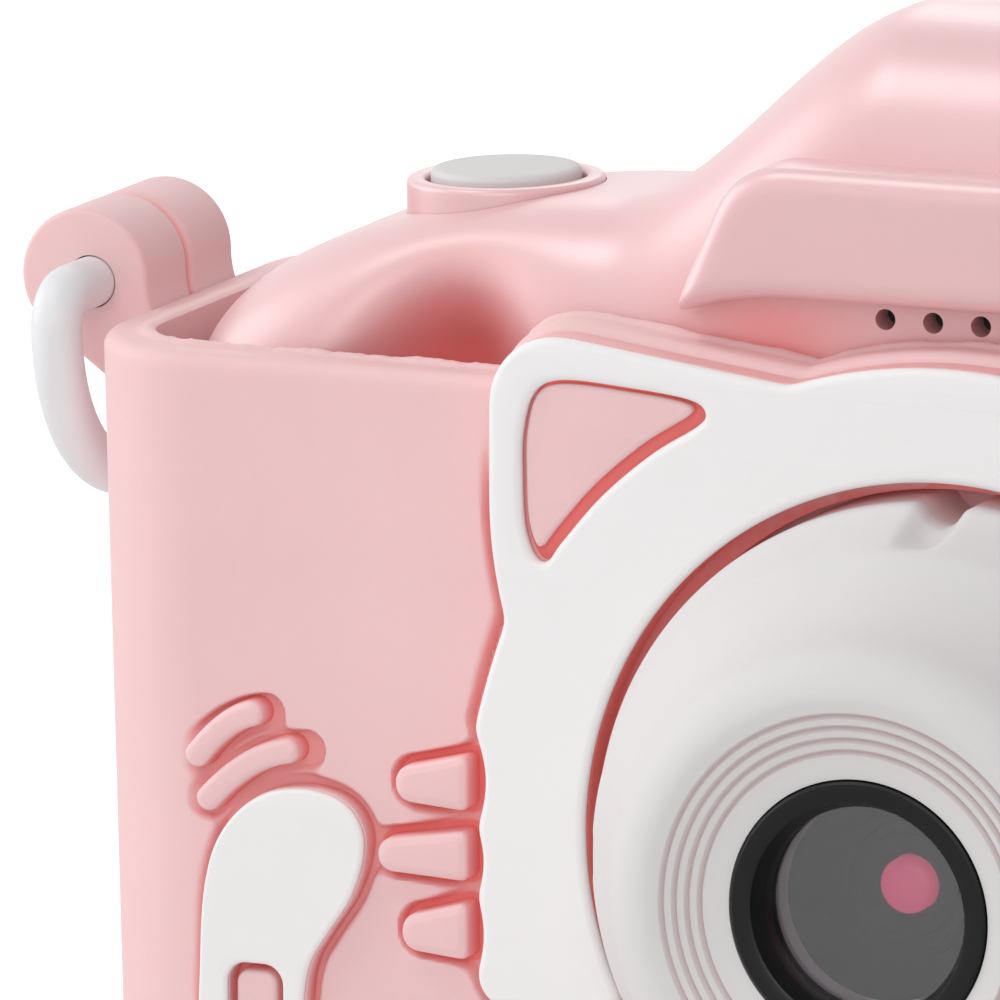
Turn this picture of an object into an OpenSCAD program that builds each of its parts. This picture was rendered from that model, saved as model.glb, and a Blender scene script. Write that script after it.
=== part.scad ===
// Toy camera in a cat-ear silicone sleeve.
// Millimetres, +Z up, the lens looks along -Y. The origin is under the middle of the bounding box.

/* [Sleeve] */
// Width of the sleeve at its rim
sleeve_w = 110; // [106:0.5:116]
// How far each side draws in from the rim to the foot
sleeve_draft = 1.4; // [0.8:0.1:1.6]
// How far the rim lies under the tops of the ears
ear_over = 2.8; // [2:0.1:4]
// Depth of the sleeve without the relief
sleeve_d = 36.5; // [36:0.1:38]
// Thickness of the silicone
sleeve_wall = 3; // [2.4:0.1:3.2]
// Radius of the upright corners
sleeve_corner = 8; // [6:0.5:10]
// Radius round the foot
sleeve_foot = 4; // [3:0.5:5]
// Height of the lens axis
lens_z = 33; // [32:0.5:34]
// Distance of the window in the back from the sleeve's sides
back_in = 11; // [9:0.5:13]
// Height of the window's lower edge
back_low = 9; // [7:0.5:10]
// Height of the window's upper edge
back_high = 51; // [50.5:0.5:53]
// Corner radius of the window
back_corner = 6; // [4:0.5:8]

/* [Lugs and loops] */
// How far the lug's round end lies outside the sleeve's side
lug_out = 3.9; // [3.4:0.1:4.5]
// Height of the lug's round end over the rim
lug_rise = 2; // [1.5:0.1:2.5]
// Radius of the lug's round end
lug_r = 4; // [3.5:0.1:4.5]
// Length of the lug along the bore
lug_len = 12.5; // [11:0.5:14]
// Front face of the lug behind the sleeve's front
lug_back = 11.5; // [10:0.5:13]
// How far under the rim the lug's lower slope meets the wall
lug_root = 7; // [6:0.1:8]
// How far the bore lies inside the round end's middle
bore_in = 0.5; // [0:0.1:0.8]
// Drop of the bore under the round end's middle
bore_drop = 0.6; // [0.3:0.1:0.8]
// Radius of the bore
bore_r = 1.56; // [1.53:0.01:1.6]
// Width of the seam groove round the lug
seam_w = 0.5; // [0.3:0.1:0.8]
// Depth of the seam groove
seam_t = 0.35; // [0.2:0.05:0.5]
// Radius of the loop's round bar
loop_r = 1.5; // [1.4:0.05:1.5]
// How far the loop's middle line stands clear of the lug
loop_reach = 5.2; // [4:0.1:5.5]
// Drop of the loop's ends below the bore
loop_drop = 2.5; // [2:0.1:3]
// Height of the loop's round lower part
loop_sag = 9.6; // [9:0.1:11]

/* [Cat relief] */
// Thickness of the white band
band_t = 2.5; // [2:0.1:3]
// Gap between the band and the barrel's flange
band_gap = 1.05; // [0.9:0.05:1.3]
// Width of the band round the head
band_w = 6.45; // [6:0.05:7]
// How far the ear's outer side lies inside the head's radius
ear_in = 0.4; // [0:0.1:0.8]
// How far the ear's top lies under the head's top
ear_drop = 0.1; // [0:0.1:0.5]
// Corner radius of the ear
ear_corner = 4; // [3:0.1:5]
// Corner radius of the band's lower ends
band_end_r = 2; // [1.5:0.1:2.4]
// White left beside and above the ear pad
ear_rim = 2.1; // [1.8:0.1:2.6]
// Corner radius of the ear pad
ear_pad_r = 1.6; // [1.2:0.1:2]
// Gap between the ear pad and the white
ear_gap = 0.5; // [0.4:0.05:0.7]
// Height of the ear pad under the front of the band
ear_sink = 0.4; // [0.2:0.1:0.8]
// Rim of pink that shows behind the band
backing_rim = 0.9; // [0.6:0.1:1.2]
// Depth of the moats round the raised shapes
moat_t = 0.9; // [0.6:0.1:1.2]
// Width of the moats
moat_w = 0.5; // [0.4:0.05:0.7]
// Height of the pink pads over the sleeve's front
pad_t = 1; // [0.7:0.1:1.3]
// Gap between the whisker pads and the head's radius
pad_gap = 1.3; // [1.1:0.1:1.7]
// Half width of the two stripes
stripe_half = 0.85; // [0.6:0.05:1]
// Thickness of the white tail over the sleeve's front
tail_t = 1; // [0.8:0.1:1.4]
// Pink inset: height of its top
inset_z = -10.5; // [-11:0.1:-10]
// Pink inset: length
inset_h = 10; // [8:0.1:11]
// Gap round the pink inset
inset_gap = 0.5; // [0.4:0.1:0.6]

/* [Hard body] */
// Gap between the body's sides and the sleeve at its foot
side_gap = 0.3; // [0.2:0.05:0.5]
// Gap between the body's front and the sleeve
body_gap = 0.2; // [0.1:0.05:0.4]
// Wall of the shells
shell_wall = 2; // [1.8:0.1:2.2]
// Radius of the body's lower corners
body_corner = 6; // [5:0.5:8]
// Height at which the sides turn into the shoulders
shoulder_z = 55.2; // [54:0.1:56]
// Rise of the shoulders
shoulder_rise = 12; // [11:0.1:13]
// Where the shoulders are level
shoulder_in = 22; // [20:0.5:24]
// Rise of the hump over the shoulders
hump_rise = 11.8; // [10:0.1:13]
// Half width of the hump at its foot
hump_half = 24.5; // [23:0.1:26]
// Width of the hump's sloping side
hump_run = 18; // [16:0.1:20]
// Edge radius at the sides and the base
edge_side = 5.8; // [5.6:0.1:6.2]
// Edge radius at the front of the shoulders
edge_shoulder = 7.5; // [6.5:0.1:9]
// Edge radius at the back of the shoulders
edge_shoulder_back = 15; // [12:0.1:16]
// How far under the shoulders' start the edge radius begins to grow
edge_low = 20; // [18:0.5:24]
// Height over which the edge radius grows
edge_run = 22; // [18:0.5:24]
// Edge radius at the hump's front
edge_hump = 10; // [8:0.1:12]
// Edge radius at the hump's back
edge_hump_back = 18; // [14:0.1:19]
// Depth of the valley beside the grip
valley_t = 6; // [4:0.1:6]
// Half width of the valley
valley_w = 4.8; // [4:0.1:6]
// Height at which the valley starts
valley_z = 41; // [39:0.5:45]
// Height over which it grows to its full depth
valley_run = 14; // [10:0.5:16]
// Height under the top edge over which it fades again
valley_fall = 10; // [9.6:0.1:11]
// Front shell's depth, from the body's front to the joint line
front_d = 17.8; // [17:0.1:18]
// Radius of the four screw posts
post_r = 2.8; // [2.6:0.1:3]
// Radius of the rear posts
rear_post_r = 3.4; // [3.2:0.1:3.5]
// Distance of the posts from the body's sides
post_in = 5.5; // [5.4:0.1:6]
// Heights of the posts
post_z = [8.5, 43]; // [8:0.5:44]
// Radius of a screw's shank
screw_r = 1; // [0.8:0.05:1]
// Radius of a screw's head
screw_head_r = 2; // [1.8:0.1:2.1]
// Height of a screw's head
screw_head_h = 1.6; // [1.2:0.1:2]
// Length of a screw's shank
screw_len = 15; // [12:0.5:16]
// Depth of the screw heads' floor under the back
screw_sink = 5.8; // [5:0.1:7]
// Gap round screws and round parts that sit in holes
seat_gap = 0.05; // [0.03:0.01:0.08]

/* [Brow and speaker] */
// Half width of the brow's foot
brow_half = 16.9; // [16:0.1:17.5]
// Half width of the brow's top edge
brow_top_half = 11.2; // [10:0.1:12]
// Gap between the brow's lower tips and the ears' backing
brow_gap = 0.5; // [0.3:0.1:1]
// Height of the brow's lower edge over its tips
brow_rise = 1.4; // [1:0.1:1.6]
// Height of the brow over its lower edge
brow_h = 7.5; // [7:0.1:7.8]
// How far the brow stands out of the body's front
brow_t = 3.2; // [2.8:0.1:3.4]
// Depth of the brow's seat in the shell
brow_seat = 1; // [0.8:0.1:1.2]
// Corner radius of the brow
brow_corner = 3; // [2:0.1:4]
// Drop of the row of holes under the brow's lower edge
hole_drop = 1.2; // [1:0.1:1.5]
// Pitch of the holes
hole_pitch = 2.85; // [2.6:0.05:3]
// Radius of a hole
hole_r = 0.6; // [0.5:0.05:0.7]
// Number of holes
hole_n = 5; // [3:2:7]
// Radius of the speaker
speaker_r = 7.5; // [7:0.1:8]
// Thickness of the speaker
speaker_t = 4; // [3:0.1:5]
// Drop of the speaker's middle under the row of holes
speaker_drop = 2.1; // [1.8:0.1:3]

/* [Lens] */
// Reach of the barrel over the sleeve's front
barrel_reach = 16.5; // [15:0.1:18]
// Radius of the barrel's flange
barrel_r = 20.6; // [20.2:0.1:20.7]
// Gap between the flange and the sleeve's hole
barrel_gap = 0.3; // [0.2:0.05:0.4]
// Radius of the barrel's middle edge
barrel_mid_r = 18.9; // [18.5:0.1:19.2]
// Radius of the barrel's front shoulder
barrel_front_r = 15.1; // [14.8:0.1:15.5]
// Radius of the barrel's most forward line
barrel_lip_r = 12.5; // [12:0.1:13]
// Depth of the dish inside that line
dish_t = 1.1; // [0.8:0.1:1.4]
// Radii of the four fine grooves
groove_r = [8.9, 9.8, 10.7, 11.6]; // [8.5:0.1:11.8]
// Width of a groove
groove_w = 0.35; // [0.2:0.05:0.5]
// Depth of a groove
groove_t = 0.3; // [0.2:0.05:0.5]
// Radius of the four finger notches in the flange
notch_r = 1.5; // [1.2:0.1:1.8]
// Wall of the barrel
barrel_wall = 1.8; // [1.6:0.1:2]
// Outer radius of the black ring
ring_r = 7.55; // [7.3:0.05:7.7]
// Inner radius of the black ring
ring_in = 5.85; // [5.5:0.05:6]
// Length of the black ring
ring_t = 2; // [1.6:0.1:2.4]
// Thickness of the window
glass_t = 1; // [0.8:0.1:1.2]
// Radius of the window
glass_r = 7.3; // [7:0.1:7.4]
// Radius of the small lens
objective_r = 1.65; // [1.4:0.05:1.8]
// Length of the small lens
objective_t = 1.2; // [1:0.1:1.4]
// Radius of the lens holder's tube
holder_r = 4.2; // [3.5:0.1:4.8]
// Width of the lens holder's base
holder_w = 14; // [12:0.5:14]
// Height of the lens holder's base
holder_base = 4; // [3:0.1:5]
// Length of the lens holder's tube
holder_len = 8.5; // [8:0.1:9]
// Radius of the hole behind the barrel
lens_hole_r = 10.3; // [10.2:0.1:11]
// Width of the sensor board
sensor_w = 24; // [23:0.5:24]
// Thickness of the sensor board
sensor_t = 1.2; // [0.8:0.1:1.6]

/* [Shutter] */
// Distance of the button from the body's side
shutter_in = 16.9; // [16.5:0.1:17.3]
// Button's middle behind the body's front
shutter_back = 11.3; // [11:0.1:11.6]
// Tilt of the button towards the side
shutter_tilt = -1.5; // [-3:0.5:0]
// Radius of the button
button_r = 4.35; // [4.2:0.05:4.5]
// Gap round the button
button_gap = 0.3; // [0.25:0.05:0.35]
// Height of the button over the shoulder
button_top = 1.8; // [1.6:0.1:2.2]
// Radius of the button's edge
button_edge = 0.4; // [0.3:0.05:0.5]
// Outer radius of the collar
collar_r = 5.75; // [5.6:0.05:6]
// Height of the collar over the shoulder
collar_top = 1; // [0.8:0.1:1.2]
// Depth of the collar's seat under the shoulder
collar_seat = 2.6; // [2.4:0.1:2.8]
// Depth of the collar's neck under the shoulder
collar_neck = 3.6; // [3.2:0.1:4]
// Outer radius of the collar's neck
neck_r = 5.2; // [5.1:0.05:5.3]
// Top of the button's flange under the shoulder
flange_low = 4.1; // [4:0.1:4.4]
// Radius of the button's flange
flange_r = 5; // [4.9:0.1:5.2]
// Thickness of the button's flange
flange_t = 0.8; // [0.6:0.1:1]
// Radius of the button's stem
stem_r = 1.5; // [1.2:0.1:2]
// Lower end of the stem under the shoulder
stem_low = 5.6; // [5.4:0.1:5.8]
// Top of the shelf under the shoulder
shelf_low = 10; // [9.9:0.1:10.5]
// Thickness of the shelf
shelf_t = 1.6; // [1.2:0.1:2]
// Width of the shelf
shelf_w = 14; // [12:0.5:15]
// Front edge of the shelf behind the body's front
shelf_front = 7; // [6.9:0.1:7.2]
// Depth of the shelf
shelf_d = 9.6; // [8:0.1:10]
// Width of the shutter switch
switch_w = 6; // [5:0.5:7]
// Height of the shutter switch
switch_h = 3; // [2.6:0.1:3]

/* [Back] */
// Distance of the screen window from the body's side
screen_in = 17; // [16:0.5:20]
// Height of the screen's middle over the lens axis
screen_z = -1; // [-2:0.5:0]
// Gap between the screen window and the keys
screen_gap = 4.5; // [4:0.1:6]
// Height of the screen window
screen_h = 36; // [34:0.2:36]
// Thickness of the screen window
screen_t = 1.2; // [0.8:0.1:1.2]
// Width of the ledge behind the screen window
screen_ledge = 2.6; // [2:0.1:3]
// Thickness of the display
lcd_t = 3; // [2.6:0.1:3.2]
// Thickness of the main board
board_t = 1.6; // [1:0.1:1.6]
// Gap between the main board's ends and the rear posts
board_gap = 0.4; // [0.3:0.1:0.8]
// Height of the main board's lower edge
board_low = 6; // [5.6:0.1:7]
// Height of the main board's upper edge
board_high = 51; // [50:0.5:52]
// Distance of the key pad's middle from the body's side
keys_in = 20.8; // [20.7:0.1:21.5]
// Height of the key pad's middle over the lens axis
keys_z = -3; // [-4:0.1:-2]
// Distance of the four arrow keys from the middle key
keys_pitch = 8.4; // [8.3:0.1:8.8]
// Radius of the middle key
ok_r = 3.6; // [3.2:0.1:3.7]
// Radius of an arrow key
arrow_r = 2.5; // [2.2:0.1:2.6]
// Radius of the two upper keys
upper_r = 2; // [1.8:0.1:2.2]
// Height of the two upper keys over the lens axis
upper_z = 13.5; // [13:0.1:14]
// Distance of the two upper keys from the pad's middle
upper_x = 6.5; // [6:0.1:7]
// Gap round a key
key_gap = 0.3; // [0.25:0.05:0.35]
// How far a key stands out of the back
key_proud = 0.6; // [0.4:0.1:1]
// Width of a key's flange
key_flange = 0.8; // [0.6:0.1:0.8]
// Thickness of a key's flange
key_flange_t = 0.5; // [0.4:0.1:0.6]
// Width of a key switch
key_switch_w = 4.5; // [4:0.1:5]
// Height of a key switch
key_switch_h = 1.4; // [1.2:0.1:1.4]

/* [Inside] */
// Gap at both ends of the battery
cell_gap = 0.5; // [0.4:0.1:0.8]
// Height of the battery
battery_h = 22; // [20:0.5:23]
// Thickness of the battery
battery_t = 6; // [4:0.1:8]
// Height of the battery's lower edge
battery_low = 9.2; // [9:0.1:9.6]
// Width of the sensor ribbon
ribbon_w = 8; // [6:0.5:10]
// Thickness of the sensor ribbon
ribbon_t = 0.3; // [0.2:0.05:0.4]
// Length of the ribbon's end tabs
ribbon_tab = 4; // [3:0.5:5]
// Radius of a lead's wire
wire_r = 0.6; // [0.4:0.05:0.7]
// Distance between the two wires of a lead
wire_pitch = 1.6; // [1.4:0.1:2]

/* [Ports] */
// Height of the USB socket's middle over the lens axis
usb_z = -2; // [-2.4:0.1:-1.8]
// Width of the USB socket
usb_w = 7.6; // [7.4:0.1:8]
// Thickness of the USB socket
usb_t = 2.8; // [2.6:0.1:3]
// Length of the USB socket
usb_len = 8; // [7:0.1:9]
// Height of the card socket's middle over the lens axis
card_z = -14; // [-14.2:0.1:-13.5]
// Width of the card socket
card_w = 12; // [11.8:0.1:12.2]
// Thickness of the card socket
card_t = 1.8; // [1.6:0.1:2]
// Length of the card socket
card_len = 12; // [10:0.5:14]
// Wall of both sockets
socket_wall = 0.4; // [0.3:0.05:0.5]
// Gap between the sockets' mouths and the body's side
socket_back = 2.6; // [2.5:0.1:3]
// Thickness of the port flap
flap_t = 1.8; // [1.6:0.1:1.8]
// Width of the port flap
flap_w = 7.3; // [7:0.1:7.4]
// Height of the port flap
flap_h = 28; // [27.6:0.1:28.2]
// Height of the flap's middle over the lens axis
flap_z = -10; // [-10.4:0.1:-9.8]
// Gap round the flap
flap_gap = 0.3; // [0.25:0.05:0.35]
// How far the flap lies under the body's side
flap_sink = 0.2; // [0.15:0.05:0.25]
// Front edge of the flap behind the joint line
flap_back = 1; // [0.9:0.1:1.1]
// Radius of the flap's stubs
stub_r = 0.6; // [0.5:0.05:0.6]
// Length of a stub
stub_len = 1.2; // [1:0.1:1.4]
// Thickness of the frame round the ports
frame_t = 4.3; // [4:0.1:4.5]
// Rim of the frame above and below the flap
frame_rim = 1.7; // [1.6:0.1:2]
// Room in the sleeve round the flap
window_gap = 1.5; // [1.2:0.1:1.8]

/* [Hidden] */
$fn = 48;

pink = "#ecc4c5";
satin_pink = "#e4b2b5";
white = "#ebe9ea";
black = "#131011";
grey = "#5a575e";
green = "#2f6b46";
steel = "#b9bcc0";

// Overrun of cuts
over = 1;
// Thin layer that carries a hull's outline
layer = 0.1;
// Thickness of the loop's bent part, as a share of its bar
bend_share = 0.985;
// Where the ear's top edge starts to fall and meets the head, and the notch under it, as shares of the head
ear_fall_share = 0.534;
ear_notch_share = 0.3345;
cheek_share = 0.4164;
// Height of the ear's straight side, as a share of the way from the cheek to the ear's top
ear_foot_share = 0.28;
// Shares of the barrel's length: flange, middle edge, start and end of the hollow curve, inner step
flange_share = 0.33;
mid_share = 0.55;
neck_share = 0.58;
front_share = 0.89;
step_share = 0.45;
// Start and length of the finger notches, as shares of the barrel's length
notch_low_share = 0.2;
notch_len_share = 0.28;
// Depth of the dish at the outermost groove, as a share of its whole depth
dish_rim_share = 0.1;
// Width of the black ring's flat front and height of its inner edge, as shares
ring_flat_share = 0.85;
ring_inner_share = 0.9;
// Height of the shutter switch's case, as a share of the whole
switch_case_share = 0.7;
// Width that the body's rings are drawn towards, as a share of the outline's width
inward_share = 0.6;
// Rings that close the body's front and back, as shares of its outline
draw_shares = [0.35, 0.7, 0.88];
// Length of a socket's closed end, as a share of its length
socket_end_share = 0.25;
// Where the battery's lead leaves it, as a share of its height
lead_share = 0.8;
// Tips of the fur tufts, as shares of the head's radius: heights under the cheek's notch, and distances
tuft_z_shares = [0.189, -0.014, -0.157, -0.317];
tuft_x_shares = [0.943, 1.011, 1.004, 1.004, 1.004];
// How far the edge swells between those tips, as shares of the head's radius
tuft_swell_shares = [0.004, -0.021, -0.013, -0.013];
// Whisker pads: lengths as shares of the relief's room; middles and heights as shares of the head's radius
pad_len_shares = [0.256, 0.318, 0.233];
pad_z_shares = [0.055, -0.096, -0.251];
pad_h_shares = [0.114, 0.103, 0.117];
// Stripes: outer end, bend and inner end, as shares of the relief's room and of the lens's height
stripe_1_shares = [[0.989, 0.055], [0.864, 0.13], [0.733, 0.139]];
stripe_2_shares = [[0.949, -0.024], [0.784, 0.068], [0.588, 0.08]];
// Tail, from its top round by the lens side, as the same shares
tail_shares = [[0.585, 0.015], [0.455, 0.002], [0.381, -0.039], [0.369, -0.094], [0.415, -0.17], [0.5, -0.239],
    [0.563, -0.3], [0.585, -0.394], [0.585, -0.606], [0.761, -0.739], [0.943, -0.606], [0.949, -0.288],
    [0.92, -0.139], [0.847, -0.055], [0.727, -0.002]];
// Pink inset of the tail: middle and width, as shares of the relief's room
inset_x_share = 0.753;
inset_w_share = 0.142;

// The head round the lens, and the heights that follow it
band_in = barrel_r + band_gap;
head_r = band_in + band_w;
ear_x = head_r - ear_in;
ear_z = head_r - ear_drop;
ear_fall_x = head_r * ear_fall_share;
ear_notch_x = head_r * ear_notch_share;
cheek_z = head_r * cheek_share;
pad_x = head_r + pad_gap;
sleeve_h = lens_z + ear_z - ear_over;
brow_tip_z = ear_z + backing_rim + brow_gap;
brow_low_z = brow_tip_z + brow_rise;
brow_top_z = brow_low_z + brow_h;
hole_z = brow_low_z - hole_drop;
speaker_z = hole_z - speaker_drop;

// Planes across the depth, from front to back
front_y = (barrel_reach - sleeve_d) / 2;
back_y = front_y + sleeve_d;
body_front = front_y + sleeve_wall + body_gap;
body_back = back_y - sleeve_wall - body_gap;
split_y = body_front + front_d;
inner_front = body_front + shell_wall;
inner_back = body_back - shell_wall;
board_back = inner_back - lcd_t;
board_front = board_back - board_t;
base_z = sleeve_wall;
body_top = shoulder_z + shoulder_rise + hump_rise;
barrel_len = barrel_reach + body_front - front_y;
shutter_y = body_front + shutter_back;

// Places across the width, from the sleeve's side inwards
back_half = sleeve_w / 2 - back_in;
body_half = sleeve_w / 2 - sleeve_draft - sleeve_wall - side_gap;
lug_x = sleeve_w / 2 + lug_out;
lug_y = front_y + lug_back;
lug_z = sleeve_h + lug_rise;
lug_foot = sleeve_h - lug_root;
bore_x = lug_x - bore_in;
bore_z = lug_z - bore_drop;
post_x = body_half - post_in;
board_half = post_x - rear_post_r - board_gap;
valley_x = body_half - shutter_in;
shutter_x = -valley_x;
shutter_z = top_edge(shutter_x);
keys_x = keys_in - body_half;
keys_end = keys_x + keys_pitch + arrow_r + key_flange;
screen_w = body_half - screen_in - keys_end - screen_gap;
screen_x = body_half - screen_in - screen_w / 2;
battery_x = sensor_w / 2 + cell_gap;
battery_w = post_x - post_r - cell_gap - battery_x;

// The relief's outlines round the lens axis
tuft_z = concat([cheek_z], head_r * tuft_z_shares);
tuft_x = head_r * tuft_x_shares;
tuft_swell = head_r * tuft_swell_shares;
band_end = tuft_z[len(tuft_z) - 1] - band_end_r;
relief_room = sleeve_w / 2 - sleeve_corner - pad_x;
pad_len = relief_room * pad_len_shares;
pad_z = head_r * pad_z_shares;
pad_h = head_r * pad_h_shares;
stripe_1 = [for (p = stripe_1_shares) relief_at(p)];
stripe_2 = [for (p = stripe_2_shares) relief_at(p)];
tail_line = [for (p = tail_shares) relief_at(p)];
inset_x = relief_at([inset_x_share, 0])[0];
inset_w = relief_room * inset_w_share;

// Places along the depth and the width of the ports
flap_y = split_y + flap_back;
flap_x = body_half - flap_sink - flap_t;
mouth_x = body_half - socket_back;

// A place in the relief's room left of the whisker pads, from its shares
function relief_at(p) = [-pad_x - relief_room * p[0], lens_z * p[1]];

// Points of an arc from one angle to another
function arc(c, r, from, to, n = 8) =
    [for (i = [0 : n]) let (a = from + (to - from) * i / n) [c[0] + r * cos(a), c[1] + r * sin(a)]];

// A smooth step from 0 to 1
function ease(t) = let (c = min(max(t, 0), 1)) c * c * (3 - 2 * c);

function mix(a, b, t) = a + (b - a) * t;

// A point of a closed smooth curve through the points of a list
function curve_point(p, i, t) =
    let (n = len(p), a = p[(i + n - 1) % n], b = p[i % n], c = p[(i + 1) % n], d = p[(i + 2) % n])
    (2 * b + (c - a) * t + (2 * a - 5 * b + 4 * c - d) * t * t + (3 * b - a - 3 * c + d) * t * t * t) / 2;

function closed_curve(p, n = 5) =
    [for (i = [0 : len(p) - 1]) for (k = [0 : n - 1]) curve_point(p, i, k / n)];

// A band of even width along a bent line, with round ends
function bend_point(p, t) = p[0] * pow(1 - t, 2) + 2 * p[1] * t * (1 - t) + p[2] * pow(t, 2);

function bend_angle(p, t) =
    let (d = (p[1] - p[0]) * (1 - t) + (p[2] - p[1]) * t) atan2(d[1], d[0]);

function ribbon(p, half, n = 8) = concat(
    [for (i = [0 : n]) let (t = i / n, a = bend_angle(p, t) + 90)
        bend_point(p, t) + half * [cos(a), sin(a)]],
    arc(p[2], half, bend_angle(p, 1) + 90, bend_angle(p, 1) - 90),
    [for (i = [0 : n]) let (t = 1 - i / n, a = bend_angle(p, t) - 90)
        bend_point(p, t) + half * [cos(a), sin(a)]],
    arc(p[0], half, bend_angle(p, 0) - 90, bend_angle(p, 0) - 270));

// A rectangle with round corners, from its half sizes
function round_rect(w, h, r, n = 6) = concat(
    arc([w - r, h - r], r, 0, 90, n), arc([r - w, h - r], r, 90, 180, n),
    arc([r - w, r - h], r, 180, 270, n), arc([w - r, r - h], r, 270, 360, n));

// Puts a flat shape, drawn round the lens axis, on a plane and raises it towards the front
module relief(y, t) {
    translate([0, y, lens_z]) rotate([90, 0, 0]) linear_extrude(t) children();
}

// Turns a shape so that its +Z runs along the lens axis, from the body's front
module along_lens() {
    translate([0, body_front, lens_z]) rotate([90, 0, 0]) children();
}

// Puts a shape on both sides
module both_sides() {
    children();
    mirror([1, 0, 0]) children();
}

// Outline of the head's left half above its cheek, with an ear, grown by a rim
function ear_side(g) =
    let (v = acos(ear_notch_x / (head_r + g)))
    concat(arc([0, 0], head_r + g, 90, 180 - v),
        [[-ear_fall_x, ear_z + g]],
        arc([ear_corner - ear_x, ear_z - ear_corner], ear_corner + g, 90, 180),
        [[-ear_x - g, mix(cheek_z, ear_z, ear_foot_share)]]);

// The scalloped cheek, from the notch under the ear down
function cheek(n = 7) = [for (i = [0 : len(tuft_swell) - 1]) for (k = [0 : n - 1])
    let (t = k / n)
    [-mix(tuft_x[i], tuft_x[i + 1], t) - tuft_swell[i] * sin(180 * t), mix(tuft_z[i], tuft_z[i + 1], t)]];

// Left half of the white band
function band_half() =
    let (x = tuft_x[len(tuft_x) - 1], r = band_end_r, z = band_end + r / 2,
        c = sqrt(pow(band_in + r / 2, 2) - z * z), e = atan2(-z, c))
    concat(ear_side(0), cheek(),
        arc([r - x, band_end + r], r, 180, 270),
        arc([-c, z], r / 2, 270, 360 + e),
        arc([0, 0], band_in, 180 + e, 90, 24));

// A whole outline from its left half, which starts and ends on the middle line
function whole(p) = concat(p, [for (i = [len(p) - 2 : -1 : 1]) [-p[i][0], p[i][1]]]);

// Outline of an ear pad, grown by a gap
function ear_pad(g) =
    let (x = ear_x - ear_rim, z = ear_z - ear_rim, r = ear_pad_r, h = head_r + ear_gap - g,
        low = acos((x - r / 2) / h), high = asin((z - r / 2) / h))
    concat(arc([r - x, z - r], r + g, 90, 180),
        [[-x - g, h * sin(low) + r]],
        arc([0, 0], h, 180 - low, 180 - high, 10),
        [[-h * cos(high) + g, z + g - r / 2], [-h * cos(high) - r, z + g]]);

// Outline of a whisker pad, grown by a gap
function whisker(i, g) =
    let (h = pad_h[i] / 2, x = pad_x + pad_len[i])
    concat(arc([h - x, pad_z[i]], h + g, 90, 270, 12),
        [[g - pad_x, pad_z[i] - h - g], [g - pad_x, pad_z[i] + h + g]]);

module whiskers(g) {
    for (i = [0 : len(pad_z) - 1]) polygon(whisker(i, g));
}

module inset(g) {
    translate([inset_x, inset_z - inset_h / 2])
        polygon(round_rect(inset_w / 2 + g, inset_h / 2 + g, inset_w / 4 + g));
}

// A tapered box with round upright corners and a round foot
module sleeve_form(inset, low, top) {
    r = sleeve_corner - inset;
    foot = sleeve_foot - inset / 2;
    y = [front_y + inset + r, back_y - inset - r];
    hull() {
        for (sx = [-1, 1], sy = y) {
            translate([sx * (sleeve_w / 2 - inset - r), sy, top - layer])
                cylinder(r = r, h = layer, $fn = 32);
            for (a = [0, 30, 60, 90]) translate([
                sx * (sleeve_w / 2 - sleeve_draft - inset - r), sy, low + foot * (1 - cos(a))])
                cylinder(r = r - foot * (1 - sin(a)), h = layer, $fn = 32);
        }
    }
}

// Side view of a lug, grown by a rim
module lug_outline(g) {
    wall = sleeve_w / 2 - sleeve_wall / 2;
    polygon(concat(arc([lug_x, lug_z], lug_r + g, 180, -45, 20),
        [[wall, lug_foot - g], [wall, sleeve_h - sleeve_draft]]));
}

module lug() {
    translate([0, lug_y + lug_len, 0]) rotate([90, 0, 0]) difference() {
        linear_extrude(lug_len) lug_outline(0);
        translate([0, 0, (lug_len - seam_w) / 2]) linear_extrude(seam_w) difference() {
            lug_outline(over);
            lug_outline(-seam_t);
            translate([0, sleeve_h - sleeve_corner * 2]) square([sleeve_w / 2 + seam_t, sleeve_corner * 4]);
        }
        translate([bore_x, bore_z, -over]) cylinder(r = bore_r, h = lug_len + 2 * over);
    }
}

module sleeve() color(pink) {
    difference() {
        union() {
            difference() {
                sleeve_form(0, 0, sleeve_h);
                sleeve_form(sleeve_wall, sleeve_wall, sleeve_h + over);
            }
            relief(front_y + sleeve_wall, sleeve_wall)
                polygon(whole(concat(ear_side(backing_rim), [[-ear_x - backing_rim, 0], [0, 0]])));
        }
        along_lens() translate([0, 0, -over]) cylinder(r = barrel_r + barrel_gap, h = sleeve_wall * 3);
        relief(front_y + moat_t, moat_t + over) {
            both_sides() whiskers(moat_w);
            polygon(ribbon(stripe_1, stripe_half + moat_w));
            polygon(ribbon(stripe_2, stripe_half + moat_w));
        }
        translate([0, back_y + over, (back_low + back_high) / 2]) rotate([90, 0, 0])
            linear_extrude(sleeve_wall + 2 * over)
            polygon(round_rect(back_half, (back_high - back_low) / 2, back_corner));
        translate([body_half, flap_y - window_gap * 2, lens_z + flap_z - flap_h / 2 - window_gap])
            cube([sleeve_wall * 3, flap_w + window_gap * 3, flap_h + window_gap * 2]);
    }
    relief(front_y + moat_t, moat_t + pad_t) {
        both_sides() whiskers(0);
        polygon(ribbon(stripe_1, stripe_half));
        polygon(ribbon(stripe_2, stripe_half));
    }
    relief(front_y, tail_t - ear_sink) inset(0);
    relief(front_y, band_t - ear_sink) both_sides() polygon(ear_pad(0));
    both_sides() lug();
}

module cat_band() color(white) relief(front_y, band_t) difference() {
    polygon(whole(band_half()));
    both_sides() polygon(ear_pad(ear_gap));
}

module tail() color(white) relief(front_y, tail_t) difference() {
    polygon(closed_curve(tail_line));
    inset(inset_gap);
}

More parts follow.
